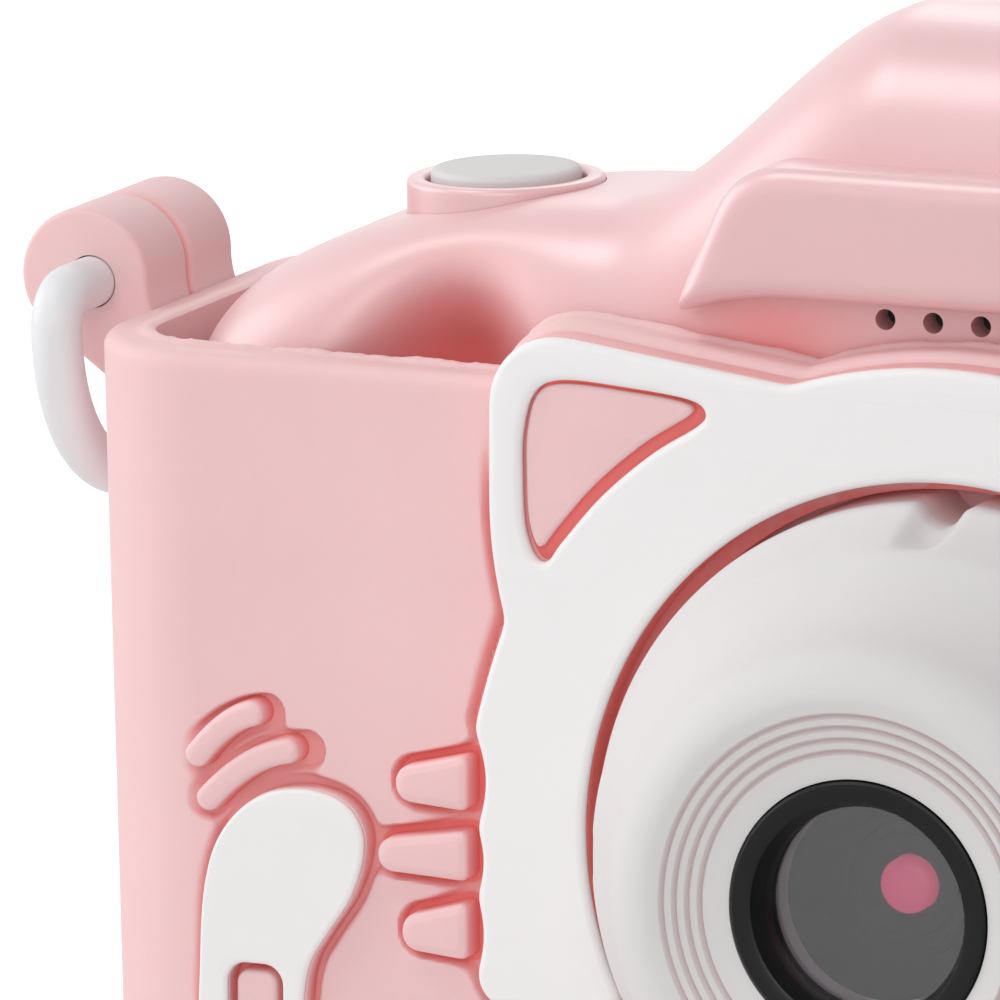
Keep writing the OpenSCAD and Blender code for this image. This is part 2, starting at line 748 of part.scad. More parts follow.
// Middle line of the loop outside the lug: two bends and a round lower part, from inside the bar
function loop_line() =
    let (half = lug_len / 2 + loop_reach, r = loop_drop, end = half - r - loop_r)
    concat([[end, 0]], arc([half - r, -r], r, 90, 0, 5),
        [for (a = [-15 : -15 : -165]) [half * cos(a), -r + loop_sag * sin(a)]],
        arc([r - half, -r], r, 180, 90, 5), [[-end, 0]]);

// Ring of points square to a line, in the plane of the bore
function tube_ring(p, i, r, n) =
    let (d = p[min(i + 1, len(p) - 1)] - p[max(i - 1, 0)], u = d / norm(d))
    [for (k = [0 : n - 1]) let (a = 360 * k / n)
        [r * cos(a), p[i][0] - u[1] * r * sin(a), p[i][1] + u[0] * r * sin(a)]];

// The loop: a true round bar through the lug, and the bent part, a hair thinner, joined to its ends
module strap_loop() {
    p = loop_line();
    n = 12;
    m = len(p);
    bar = lug_len + 2 * (loop_reach - loop_drop);
    translate([bore_x, lug_y + lug_len / 2, bore_z]) {
        translate([0, bar / 2, 0]) rotate([90, 0, 0]) cylinder(r = loop_r, h = bar);
        polyhedron([for (i = [0 : m - 1]) each tube_ring(p, i, loop_r * bend_share, n)], concat(
            [for (i = [0 : m - 2], k = [0 : n - 1]) [i * n + n + k, i * n + k, i * n + (k + 1) % n]],
            [for (i = [0 : m - 2], k = [0 : n - 1])
                [i * n + n + k, i * n + (k + 1) % n, i * n + n + (k + 1) % n]],
            [[for (k = [n - 1 : -1 : 0]) k], [for (k = [0 : n - 1]) (m - 1) * n + k]]));
    }
}

module strap_loop_left() color(white) mirror([1, 0, 0]) strap_loop();

module strap_loop_right() color(white) strap_loop();

// Height of the body's top edge at a distance from the middle
function top_edge(x) =
    let (r = max(0, abs(x) - shoulder_in) / (body_half - shoulder_in))
    shoulder_z + shoulder_rise * sqrt(max(0, 1 - r * r)) + hump_rise * hump_share(x);

function hump_share(x) = ease((hump_half - abs(x)) / hump_run);

// Outline of the body seen from the front
function body_line(n = 44) = concat(
    [for (i = [0 : n]) let (x = -body_half * cos(180 * i / n)) [x, top_edge(x)]],
    [for (k = [3, 2, 1]) [body_half, mix(base_z + body_corner, shoulder_z, k / 4)]],
    arc([body_half - body_corner, base_z + body_corner], body_corner, 0, -90, 4),
    arc([body_corner - body_half, base_z + body_corner], body_corner, -90, -180, 4),
    [for (k = [1, 2, 3]) [-body_half, mix(base_z + body_corner, shoulder_z, k / 4)]]);

// Edge radius at a point of the outline
function edge_radius(p, shoulder, hump) = mix(
    mix(edge_side, shoulder, ease((p[1] - shoulder_z + edge_low) / edge_run)), hump,
    p[1] > shoulder_z ? hump_share(p[0]) : 0);

// How far the front is pressed in beside the grip
function valley(x, z) = valley_t * exp(-pow((abs(x) - valley_x) / valley_w, 2))
    * ease((z - valley_z) / valley_run) * ease((top_edge(x) - z) / valley_fall);

// Direction in which a ring of the body is drawn in: towards the lens axis's height and a narrower width
function inward(p) = let (v = [inward_share * p[0], lens_z] - p) v / norm(v);

function ring(p, front, angle, t) = [for (i = [0 : len(p) - 1])
    let (r = front ? edge_radius(p[i], edge_shoulder, edge_hump)
            : edge_radius(p[i], edge_shoulder_back, edge_hump_back),
        q = p[i] + inward(p[i]) * (t + (r - t) * (1 - cos(angle))),
        y = front ? body_front + t + (r - t) * (1 - sin(angle)) : body_back - t - (r - t) * (1 - sin(angle)))
    [q[0], y + (front ? valley(q[0], q[1]) * (1 - ease((y - body_front - t) / edge_hump)) : 0), q[1]]];

// A ring drawn in towards the middle of the front or the back
function drawn_in(q, front, t, share) = [for (p = q)
    let (x = p[0] * share, z = mix(lens_z, p[2], share))
    [x, front ? body_front + t + valley(x, z) : body_back - t, z]];

// Solid of the body's outer form, or of its inside when t is the wall
module body_form(t) {
    p = body_line();
    n = len(p);
    angles = [90, 68, 45, 22, 0];
    f = [for (a = angles) ring(p, true, a, t)];
    b = [for (a = angles) ring(p, false, a, t)];
    rings = concat([for (s = draw_shares) drawn_in(f[0], true, t, s)], f,
        [for (k = [4 : -1 : 0]) b[k]],
        [for (k = [len(draw_shares) - 1 : -1 : 0]) drawn_in(b[0], false, t, draw_shares[k])]);
    m = len(rings);
    points = concat([for (q = rings) each q], [[0, body_front + t, lens_z], [0, body_back - t, lens_z]]);
    polyhedron(points, concat(
        [for (k = [0 : m - 2], i = [0 : n - 1]) let (j = (i + 1) % n) [k * n + j, k * n + i, k * n + n + i]],
        [for (k = [0 : m - 2], i = [0 : n - 1]) let (j = (i + 1) % n)
            [k * n + n + j, k * n + j, k * n + n + i]],
        [for (i = [0 : n - 1]) [m * n, i, (i + 1) % n]],
        [for (i = [0 : n - 1]) [m * n + 1, (m - 1) * n + (i + 1) % n, (m - 1) * n + i]]));
}

module slab(y0, y1) {
    translate([-sleeve_w / 2, y0, 0]) cube([sleeve_w, y1 - y0, body_top + over]);
}

// A round bar along Y at the four posts
module at_posts(r, y0, y1) {
    for (sx = [-1, 1], z = post_z) translate([sx * post_x, y1, z]) rotate([90, 0, 0])
        cylinder(r = r, h = y1 - y0);
}

// Turns a shape so that its +Z runs up the shutter's axis, from the shoulder
module along_shutter() {
    translate([shutter_x, shutter_y, shutter_z]) rotate([0, shutter_tilt, 0]) children();
}

function brow_line(g) =
    let (r = brow_corner, slope = atan2(brow_half - brow_top_half, brow_top_z - brow_tip_z),
        half = [for (a = arc([brow_top_half, brow_top_z - r], r + g, 90, slope)) a])
    concat(half, [[brow_half + g, brow_tip_z - g], [brow_half - r + g, brow_low_z - r / 8 - g]],
        [[brow_half - 2 * r, brow_low_z - g], [2 * r - brow_half, brow_low_z - g]],
        [[r - brow_half - g, brow_low_z - r / 8 - g], [-brow_half - g, brow_tip_z - g]],
        [for (i = [len(half) - 1 : -1 : 0]) [-half[i][0], half[i][1]]]);

module front_shell() color(satin_pink) difference() {
    union() {
        difference() {
            intersection() {
                body_form(0);
                slab(body_front - over, split_y);
            }
            body_form(shell_wall);
        }
        at_posts(post_r, body_front + shell_wall / 2, split_y);
        intersection() {
            body_form(shell_wall / 2);
            translate([shutter_x - shelf_w / 2, body_front, shutter_z - shelf_low - shelf_t])
                cube([shelf_w, shelf_front + shelf_d, shelf_t]);
        }
    }
    at_posts(screw_r + seat_gap, split_y - screw_len, split_y + over);
    along_lens() translate([0, 0, -shell_wall - over]) cylinder(r = lens_hole_r, h = shell_wall + 2 * over);
    relief(body_front + brow_seat, brow_seat + over) polygon(brow_line(seat_gap));
    for (i = [0 : hole_n - 1]) translate([(i - (hole_n - 1) / 2) * hole_pitch, 0, hole_z])
        along_lens() translate([0, 0, -shell_wall - over]) cylinder(r = hole_r, h = shell_wall + 2 * over);
    along_shutter() {
        translate([0, 0, -collar_seat]) cylinder(r = collar_r + seat_gap, h = collar_seat + 2 * over);
        translate([0, 0, -flange_low]) cylinder(r = neck_r + seat_gap, h = flange_low);
    }
}

module brow_panel() color(satin_pink) relief(body_front + brow_seat, brow_seat + brow_t)
    polygon(brow_line(0));

module shutter_collar() color(pink) along_shutter() rotate_extrude() {
    r = button_r + button_gap;
    e = (collar_r - r) / 3;
    polygon(concat([[r, -collar_neck], [neck_r, -collar_neck]],
        [[neck_r, -collar_seat], [collar_r, -collar_seat]],
        arc([collar_r - e, collar_top - e], e, 0, 90, 4), arc([r + e, collar_top - e], e, 90, 180, 4)));
}

module shutter_button() color(white) along_shutter() rotate_extrude() {
    e = button_edge;
    polygon(concat([[0, -stem_low], [stem_r, -stem_low], [stem_r, -flange_low - flange_t],
        [flange_r, -flange_low - flange_t], [flange_r, -flange_low], [button_r, -flange_low]],
        arc([button_r - e, button_top - e], e, 0, 90, 4), [[0, button_top + e / 2]]));
}

module shutter_switch() color(black)
    translate([shutter_x - switch_w / 2, shutter_y - switch_w / 2, shutter_z - shelf_low]) {
        cube([switch_w, switch_w, switch_h * switch_case_share]);
        translate([switch_w / 2, switch_w / 2, 0]) cylinder(r = stem_r, h = switch_h);
    }

// Outline of the barrel from the flange's back to the dish, as radius and reach
function barrel_line() =
    let (lip = barrel_len, step = lip * flange_share, e = barrel_r - barrel_mid_r)
    concat([[barrel_r, 0], [barrel_r, step - e / 2]],
        arc([barrel_r - e / 3, step - e / 4], e / 3, 0, 70, 4),
        arc([barrel_mid_r - e / 2, lip * mid_share], e / 2, 20, 70, 4),
        [for (i = [1 : 5]) let (a = 90 * i / 5)
            [mix(barrel_mid_r - e / 2, barrel_front_r, sin(a)),
                mix(lip * neck_share, lip * front_share, 1 - cos(a))]],
        [for (i = [1 : 6]) let (a = 90 * i / 6)
            [mix(barrel_front_r, barrel_lip_r, 1 - cos(a)), mix(lip * front_share, lip, sin(a))]],
        [[groove_r[3] + groove_w, lip - dish_t * dish_rim_share], [ring_r + seat_gap, lip - dish_t]]);

module lens_barrel() color(white) along_lens() {
    seat = barrel_len - dish_t - ring_t - glass_t;
    line = barrel_line();
    difference() {
        rotate_extrude($fn = 96) polygon(concat(line, [[ring_r + seat_gap, seat], [ring_in, seat],
            [ring_in, seat - barrel_wall], [barrel_front_r - barrel_wall, seat - barrel_wall],
            [barrel_front_r - barrel_wall, barrel_len * step_share],
            [barrel_mid_r - barrel_wall, barrel_len * step_share],
            [barrel_mid_r - barrel_wall, 0]]));
        for (r = groove_r) translate([0, 0, barrel_len - groove_t
            - dish_t * (1 - (r - ring_r) / (groove_r[3] - ring_r))])
            rotate_extrude($fn = 96) translate([r - groove_w / 2, 0]) square([groove_w, groove_t * 4]);
        for (a = [0 : 90 : 270]) rotate([0, 0, a])
            translate([barrel_r + notch_r / 4, 0, barrel_len * notch_low_share])
            cylinder(r = notch_r, h = barrel_len * notch_len_share, $fn = 24);
    }
}

module lens_ring() color(black) along_lens() translate([0, 0, barrel_len - dish_t - ring_t]) rotate_extrude()
    polygon([[ring_in, 0], [ring_r, 0], [ring_r, ring_t], [ring_r - ring_t / 8, ring_t + ring_t / 10],
        [mix(ring_r, ring_in, ring_flat_share), ring_t + ring_t / 10], [ring_in, ring_t * ring_inner_share]]);

module lens_glass() color(grey, 0.6) along_lens() translate([0, 0, barrel_len - dish_t - ring_t - glass_t])
    cylinder(r = glass_r, h = glass_t);

module lens_holder() color(black) along_lens() difference() {
    union() {
        translate([-holder_w / 2, -holder_w / 2, -shell_wall]) cube([holder_w, holder_w, holder_base]);
        translate([0, 0, holder_base - shell_wall]) cylinder(r = holder_r, h = holder_len);
    }
    translate([0, 0, holder_base - shell_wall + holder_len - objective_t])
        cylinder(r = objective_r + seat_gap, h = objective_t + over);
}

module objective_lens() color("#b46c7d") along_lens()
    translate([0, 0, holder_base - shell_wall + holder_len - objective_t]) rotate_extrude()
    polygon(concat([[0, 0], [objective_r, 0], [objective_r, objective_t]],
        [for (i = [1 : 5]) let (a = 90 * i / 5)
            [objective_r * cos(a), objective_t + objective_r / 3 * sin(a)]]));

module sensor_board() color(green) relief(inner_front + sensor_t, sensor_t) square(sensor_w, center = true);

// Flat cable: a tab on each board and a straight run between them
module sensor_ribbon() color("#c98a3a") {
    y0 = inner_front + sensor_t;
    translate([-ribbon_w / 2, y0, lens_z - sensor_w / 2]) {
        cube([ribbon_w, ribbon_t, ribbon_tab]);
        cube([ribbon_w, board_front - y0, ribbon_t]);
        translate([0, board_front - y0 - ribbon_t, 0]) cube([ribbon_w, ribbon_t, ribbon_tab]);
    }
}

module main_board() color(green) translate([-board_half, board_front, board_low])
    cube([board_half * 2, board_t, board_high - board_low]);

module battery() color(steel) translate([battery_x, inner_front, battery_low])
    cube([battery_w, battery_t, battery_h]);

// Two wires side by side along a line of points
module lead(points) {
    for (dx = [-1, 1] * wire_pitch / 2, i = [0 : len(points) - 2]) {
        d = points[i + 1] - points[i];
        translate(points[i] + [dx, 0, 0]) {
            if (i > 0) sphere(r = wire_r, $fn = 16);
            rotate([-atan2(d[1], d[2]), 0, 0]) cylinder(r = wire_r, h = norm(d), $fn = 16);
        }
    }
}

module battery_lead() color("firebrick")
    lead([[battery_x + battery_w / 3, inner_front + battery_t, battery_low + battery_h * lead_share],
        [battery_x + battery_w / 3, board_front, battery_low + battery_h * lead_share]]);

module speaker() color(black) translate([0, 0, speaker_z]) along_lens()
    translate([0, 0, -shell_wall - speaker_t]) cylinder(r = speaker_r, h = speaker_t);

module speaker_lead() color("firebrick") {
    z0 = lens_z + speaker_z - speaker_r / 2;
    z1 = board_high - speaker_r;
    bend = (inner_front + speaker_t + board_front) / 2;
    lead([[0, inner_front + speaker_t, z0], [0, bend, z0], [0, bend, z1], [0, board_front, z1]]);
}

module lcd_module() color(steel) translate([screen_x, inner_back, lens_z + screen_z]) rotate([90, 0, 0])
    linear_extrude(lcd_t) square([screen_w, screen_h], center = true);

module screen_outline(g) {
    translate([screen_x, screen_z])
        polygon(round_rect(screen_w / 2 + g, screen_h / 2 + g, screen_ledge));
}

module screen_window() color(black) relief(body_back, screen_t) screen_outline(0);

// Each rear key's place, round the pad's middle, and its radius
key_up_at = [keys_x, keys_z + keys_pitch, arrow_r];
key_down_at = [keys_x, keys_z - keys_pitch, arrow_r];
key_left_at = [keys_x + keys_pitch, keys_z, arrow_r];
key_right_at = [keys_x - keys_pitch, keys_z, arrow_r];
key_ok_at = [keys_x, keys_z, ok_r];
key_power_at = [keys_x - upper_x, upper_z, upper_r];
key_menu_at = [keys_x + upper_x, upper_z, upper_r];
keys_at = [key_up_at, key_down_at, key_left_at, key_right_at, key_ok_at, key_power_at, key_menu_at];

module key(k) color(white) translate([k[0], body_back + key_proud, lens_z + k[1]]) rotate([90, 0, 0]) {
    cylinder(r = k[2], h = key_proud + shell_wall + key_gap);
    translate([0, 0, key_proud + shell_wall + key_gap]) cylinder(r = k[2] + key_flange, h = key_flange_t);
}

module key_up() key(key_up_at);

module key_down() key(key_down_at);

module key_left() key(key_left_at);

module key_right() key(key_right_at);

module key_ok() key(key_ok_at);

module key_power() key(key_power_at);

module key_menu() key(key_menu_at);

module key_switches() color(black) for (k = keys_at)
    translate([k[0] - key_switch_w / 2, board_back, lens_z + k[1] - key_switch_w / 2])
    cube([key_switch_w, key_switch_h, key_switch_w]);

// A flat socket on the main board, open at the side of the body
module socket(z, w, t, len) {
    translate([mouth_x - len, board_front - t, lens_z + z - w / 2]) difference() {
        cube([len, t, w]);
        translate([len * socket_end_share, socket_wall, socket_wall])
            cube([len, t - 2 * socket_wall, w - 2 * socket_wall]);
    }
}

module usb_socket() color(steel) socket(usb_z, usb_w, usb_t, usb_len);

module card_socket() color(steel) socket(card_z, card_w, card_t, card_len);

// Room for a socket's mouth in the frame round the ports
module mouth(z, w, t) {
    translate([mouth_x - frame_t, board_front - t - flap_gap, lens_z + z - w / 2 - flap_gap])
        cube([frame_t * 2, t + 2 * flap_gap, w + 2 * flap_gap]);
}

// Places a shape at the middle of the flap's axis
module at_flap() {
    translate([flap_x + flap_t / 2, flap_y + flap_t / 2, lens_z + flap_z]) children();
}

// The flap's plate: a flat leaf with a round hinge edge
module leaf() {
    r = flap_t / 2;
    translate([0, 0, -flap_h / 2]) {
        cylinder(r = r, h = flap_h);
        translate([-r, 0, 0]) cube([flap_t, flap_w - r, flap_h]);
    }
}

// Room for the leaf in the body's side
module leaf_recess() {
    r = flap_t / 2 + flap_gap;
    translate([-r, -r, -flap_h / 2 - flap_gap])
        cube([flap_t + over * 2, flap_w + 2 * flap_gap, flap_h + 2 * flap_gap]);
}

module port_flap() color(satin_pink) at_flap() {
    leaf();
    translate([0, 0, -flap_h / 2 - stub_len]) cylinder(r = stub_r, h = flap_h + 2 * stub_len);
}

module rear_shell() color(satin_pink) difference() {
    union() {
        difference() {
            intersection() {
                body_form(0);
                slab(split_y, body_back + over);
            }
            body_form(shell_wall);
        }
        at_posts(rear_post_r, split_y, inner_back + shell_wall / 2);
        translate([body_half - frame_t, split_y + shell_wall / 4, lens_z + flap_z - flap_h / 2 - frame_rim])
            cube([frame_t - shell_wall / 4, inner_back - split_y - shell_wall * 3 / 4, flap_h + 2 * frame_rim]);
    }
    at_posts(screw_r + 4 * seat_gap, split_y - over, body_back);
    at_posts(screw_head_r + 4 * seat_gap, body_back - screw_sink, body_back + over);
    relief(body_back + over, screen_t + over) screen_outline(seat_gap);
    relief(body_back + over / 2, shell_wall + over) screen_outline(-screen_ledge);
    for (k = keys_at) translate([k[0], body_back + over, lens_z + k[1]]) rotate([90, 0, 0])
        cylinder(r = k[2] + key_gap, h = shell_wall + 2 * over);
    at_flap() {
        leaf_recess();
        translate([0, 0, -flap_h / 2 - stub_len - flap_gap])
            cylinder(r = stub_r + seat_gap, h = flap_h + 2 * stub_len + 2 * flap_gap);
    }
    mouth(usb_z, usb_w, usb_t);
    mouth(card_z, card_w, card_t);
}

module shell_screws() color(steel) {
    at_posts(screw_r, body_back - screw_sink - screw_len, body_back - screw_sink);
    at_posts(screw_head_r, body_back - screw_sink, body_back - screw_sink + screw_head_h);
}

sleeve();
cat_band();
tail();
strap_loop_left();
strap_loop_right();
front_shell();
rear_shell();
brow_panel();
shutter_collar();
shutter_button();
shutter_switch();
lens_barrel();
lens_ring();
lens_glass();
objective_lens();
lens_holder();
sensor_board();
sensor_ribbon();
main_board();
battery();
battery_lead();
speaker();
speaker_lead();
lcd_module();
screen_window();
key_up();
key_down();
key_left();
key_right();
key_ok();
key_power();
key_menu();
key_switches();
usb_socket();
card_socket();
port_flap();
shell_screws();
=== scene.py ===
"""Looks of a toy camera in a cat-ear silicone sleeve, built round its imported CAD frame."""

import math
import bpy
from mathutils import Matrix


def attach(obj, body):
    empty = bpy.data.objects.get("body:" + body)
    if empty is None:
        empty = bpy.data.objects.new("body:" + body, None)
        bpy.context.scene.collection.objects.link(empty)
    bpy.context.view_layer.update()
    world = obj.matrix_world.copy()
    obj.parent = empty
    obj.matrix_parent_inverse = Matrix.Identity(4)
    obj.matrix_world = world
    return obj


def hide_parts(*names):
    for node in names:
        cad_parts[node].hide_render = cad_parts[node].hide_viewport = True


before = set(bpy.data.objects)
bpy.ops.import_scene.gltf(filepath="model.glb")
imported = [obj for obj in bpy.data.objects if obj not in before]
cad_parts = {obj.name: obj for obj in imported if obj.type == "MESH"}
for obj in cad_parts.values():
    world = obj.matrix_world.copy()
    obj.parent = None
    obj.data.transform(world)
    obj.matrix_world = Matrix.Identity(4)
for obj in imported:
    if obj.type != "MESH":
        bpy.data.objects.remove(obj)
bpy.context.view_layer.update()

from types import SimpleNamespace

import bmesh
import bpy
import numpy as np
from bpy.props import FloatProperty, FloatVectorProperty, PointerProperty
from mathutils import Matrix, Vector

bl_info = {
    "name": "Toy camera looks",
    "version": (1, 0, 0),
    "blender": (4, 5, 0),
    "location": "View3D > Sidebar > Toy camera",
    "description": "Builds the visible pieces of a toy camera in a cat-ear sleeve",
    "category": "Object",
}

MM = 0.001


def length(name, description, millimetres):
    """A length property whose default is given in millimetres."""
    default = millimetres * MM
    return FloatProperty(name=name, description=description, default=default, unit="LENGTH", precision=5)


def colour(name, description, red, green, blue):
    """A colour property whose default is given as display values from 0 to 255."""
    return FloatVectorProperty(
        name=name,
        description=description,
        subtype="COLOR",
        size=3,
        min=0.0,
        max=1.0,
        default=tuple(linear(v / 255) for v in (red, green, blue)),
    )


def linear(value):
    """Linear light of a display value from 0 to 1."""
    return value / 12.92 if value <= 0.04045 else ((value + 0.055) / 1.055) ** 2.4


class SleeveSizes(bpy.types.PropertyGroup):
    half_width: length("Half width", "Half of the sleeve's width at its rim", 55.2)
    draft: length("Draft", "How far each side draws in from the rim to the foot", 1.4)
    height: length("Height", "Height of the rim", 58.2)
    front: length("Front", "Place of the sleeve's front along the depth", -10)
    back: length("Back", "Place of the sleeve's back along the depth", 26.5)
    wall: length("Wall", "Thickness of the silicone", 3)
    corner: length("Corner", "Radius of the upright corners", 8)
    foot: length("Foot", "Radius round the foot", 4)
    edge: length("Edge", "Radius of the rim's outer edge", 0.9)
    lip: length("Lip", "Height of the thin lip along the rim's inner edge", 0.36)
    moat_depth: length("Moat depth", "Depth of the moats round the raised shapes", 0.9)
    moat_width: length("Moat width", "Width of the moats round the pads and the tail", 0.5)
    stripe_moat: length("Stripe moat", "Width of the moats round the stripes", 0.25)
    band_moat: length("Band moat", "Width of the moat along the white band", 1.3)
    pad_rise: length("Pad rise", "Height of the pink pads over the front", 1.0)


class CatSizes(bpy.types.PropertyGroup):
    lens_height: length("Lens height", "Height of the lens axis", 33)
    band: length("Band", "Thickness of the white band", 2.5)
    band_white: length("Band white", "Thickness of the band's white layer", 1.0)
    hole: length("Hole", "Radius of the band's round hole", 21.65)
    head: length("Head", "Radius of the head", 28.1)
    ear_x: length("Ear side", "Distance of the ear's outer side from the middle", 27.5)
    ear_z: length("Ear top", "Height of the ear's top over the lens axis", 28.2)
    ear_corner: length("Ear corner", "Corner radius of the ear", 4)
    ear_fall: length("Ear fall", "Where the ear's top edge starts to fall", 22.8)
    ear_notch: length("Ear notch", "Where the ear meets the top of the head", 9.4)
    cheek: length("Cheek", "Height of the notch under the ear over the lens axis", 11.7)
    ear_gap: length("Ear gap", "Mean gap between the ear pad and the white", 0.45)
    ear_sink: length("Ear sink", "Height of the ear pad under the front of the band", 0.3)
    ear_shift: length("Ear shift", "How far the ear pad lies outwards in its opening", 0.22)
    ear_floor: length("Ear floor", "Depth of the gap round the ear pad", 1.1)
    backing: length("Backing", "Rim of pink that shows behind the band", 0.5)
    band_edge: length("Band edge", "Radius of the band's edges", 0.48)
    tail: length("Tail", "Height of the tail over the front", 1.0)
    tail_white: length("Tail white", "Thickness of the tail's white layer", 0.55)


class BodySizes(bpy.types.PropertyGroup):
    half_width: length("Half width", "Half of the hard body's width", 50.3)
    front: length("Front", "Place of the body's front along the depth", -6.8)
    back: length("Back", "Place of the body's back along the depth", 23.3)
    joint: length("Joint", "Place of the shells' joint line along the depth", 11)
    joint_gap: length("Joint gap", "Width of the joint line", 0.12)
    wall: length("Wall", "Wall of the shells", 2)
    base: length("Base", "Height of the body's underside", 3)
    corner: length("Corner", "Radius of the lower corners", 6)
    shoulder: length("Shoulder", "Height at which the sides turn into the shoulders", 55.2)
    shoulder_rise: length("Shoulder rise", "Rise of the shoulders", 12)
    shoulder_in: length("Shoulder inner", "Where the shoulders are level", 22)
    hump_rise: length("Hump rise", "Rise of the hump over the shoulders", 11.8)
    hump_half: length("Hump half", "Half width of the hump at its foot", 24.5)
    hump_run: length("Hump run", "Width of the hump's sloping side", 18)
    edge_side: length("Side edge", "Edge radius at the sides", 5.8)
    edge_shoulder: length("Shoulder edge", "Edge radius at the front of the shoulders", 7.5)
    edge_shoulder_back: length("Shoulder back edge", "Edge radius at the back of the shoulders", 15)
    edge_hump: length("Hump edge", "Edge radius at the hump's front", 10)
    edge_hump_back: length("Hump back edge", "Edge radius at the hump's back", 18)
    edge_low: length("Edge start", "How far under the shoulders the edge starts to grow", 20)
    edge_run: length("Edge run", "Height over which the edge grows", 22)
    valley: length("Valley", "Depth of the valley beside the grip", 6)
    valley_x: length("Valley place", "Distance of the valley from the middle", 33.4)
    valley_w: length("Valley width", "Half width of the valley", 4.8)
    valley_z: length("Valley start", "Height at which the valley starts", 41)
    valley_run: length("Valley run", "Height over which it grows to its full depth", 14)
    valley_fall: length("Valley fall", "Height under the top edge over which it fades again", 10)


class LensSizes(bpy.types.PropertyGroup):
    flange: length("Flange", "Radius of the barrel's flange", 20.6)
    ring: length("Ring", "Outer radius of the black ring", 7.55)
    ring_in: length("Ring inside", "Inner radius of the black ring", 5.85)
    window: length("Window", "Radius of the lens window", 7.3)
    objective: length("Objective", "Radius of the small lens", 1.6)


class Finishes(bpy.types.PropertyGroup):
    silicone: colour("Silicone", "Colour of the sleeve", 243, 203, 204)
    # Painted shade: a deeper red that the painted-shade mask lays on the sleeve's moats, gaps and pad sides,
    # where it also glows as painted light
    silicone_deep: colour("Silicone recess", "Colour of the sleeve's thin recesses", 224, 116, 112)
    white_silicone: colour("White silicone", "Colour of the band and the tail", 246, 244, 244)
    satin: colour("Satin pink", "Colour of the hard body", 234, 187, 189)
    # Painted shade: a deeper red that the painted-shade mask lays in the hard body's valleys and under the
    # brow's ends, where it also glows as painted light
    satin_deep: colour("Satin recess", "Colour of the hard body's shaded hollows", 230, 118, 114)
    white_plastic: colour("White plastic", "Colour of the barrel, the button and the keys", 225, 222, 222)
    # Painted shade: a darker grey that the painted-shade mask lays in the barrel's fine grooves
    groove: colour("Groove", "Colour of the barrel's fine grooves", 208, 190, 190)
    loop: colour("Loop", "Colour of the strap loops", 236, 236, 238)
    black: colour("Black", "Colour of the lens ring and the screen", 9, 8, 9)
    coating: colour("Coating", "Colour of the small lens's coating", 222, 84, 118)


def millimetres(group):
    """The lengths of a property group, in millimetres."""
    return SimpleNamespace(**{name: getattr(group, name) / MM for name in group.__annotations__})


# Curves and outlines, in millimetres; flat outlines are drawn round the lens axis


def ease(t):
    """A soft step from 0 to 1."""
    c = np.clip(t, 0.0, 1.0)
    return c * c * (3 - 2 * c)


def mix(a, b, t):
    """The value between two at a share."""
    return a + (b - a) * t


def arc(centre, radius, start, end, count=12):
    """Points of an arc between two angles in degrees."""
    angles = np.radians(np.linspace(start, end, count + 1))
    return np.column_stack([centre[0] + radius * np.cos(angles), centre[1] + radius * np.sin(angles)])


def closed_curve(points, count=12):
    """A smooth closed curve through points."""
    p = np.asarray(points, float)
    a, b, c, d = (np.roll(p, k, axis=0)[:, None, :] for k in (1, 0, -1, -2))
    t = np.linspace(0, 1, count, endpoint=False)[None, :, None]
    curve = 2 * b + (c - a) * t + (2 * a - 5 * b + 4 * c - d) * t**2 + (3 * b - a - 3 * c + d) * t**3
    return (curve / 2).reshape(-1, 2)


def bend_point(p, t):
    """A place on a bent line through two ends that leans to a third point."""
    return p[0] * (1 - t) ** 2 + 2 * p[1] * t * (1 - t) + p[2] * t**2


def bend_angle(p, t):
    """The way a bent line runs at a share of it, in degrees."""
    d = (p[1] - p[0]) * (1 - t) + (p[2] - p[1]) * t
    return math.degrees(math.atan2(d[1], d[0]))


ROUND_END_STEPS = 14


def ribbon(points, half, count=16):
    """A band of even width along a bent line, with round ends."""
    p = np.asarray(points, float)
    sides = []
    for turn, steps in ((90, np.linspace(0, 1, count + 1)), (-90, np.linspace(1, 0, count + 1))):
        for t in steps:
            a = math.radians(bend_angle(p, t) + turn)
            sides.append(bend_point(p, t) + half * np.array([math.cos(a), math.sin(a)]))
    first, second = sides[: count + 1], sides[count + 1 :]
    end, start = bend_angle(p, 1), bend_angle(p, 0)
    far_end = arc(p[2], half, end + 90, end - 90, ROUND_END_STEPS)
    near_end = arc(p[0], half, start - 90, start - 270, ROUND_END_STEPS)
    return np.vstack([first, far_end, second, near_end])


def round_rect(half_w, half_h, radius, count=10):
    """A rectangle with round corners."""
    w, h = half_w - radius, half_h - radius
    corners = ((w, h, 0), (-w, h, 90), (-w, -h, 180), (w, -h, 270))
    return np.vstack([arc((x, z), radius, a, a + 90, count) for x, z, a in corners])


def circle(centre, radius, count):
    """A closed round outline, without its first point at its end."""
    return arc(centre, radius, 0, 360, count)[:-1]


def turns(start, end, count):
    """Cosine and sine at even steps between two angles in degrees."""
    return [(math.cos(math.radians(a)), math.sin(math.radians(a))) for a in np.linspace(start, end, count)]


def offset_outline(points, distance):
    """A dense closed outline moved outwards by a distance, or inwards if it is negative."""
    p = np.asarray(points, float)
    d = np.roll(p, -1, axis=0) - np.roll(p, 1, axis=0)
    n = np.column_stack([d[:, 1], -d[:, 0]]) / np.maximum(np.linalg.norm(d, axis=1), 1e-9)[:, None]
    area = np.sum(p[:, 0] * np.roll(p[:, 1], -1) - np.roll(p[:, 0], -1) * p[:, 1])
    return p + n * distance * (1 if area > 0 else -1)


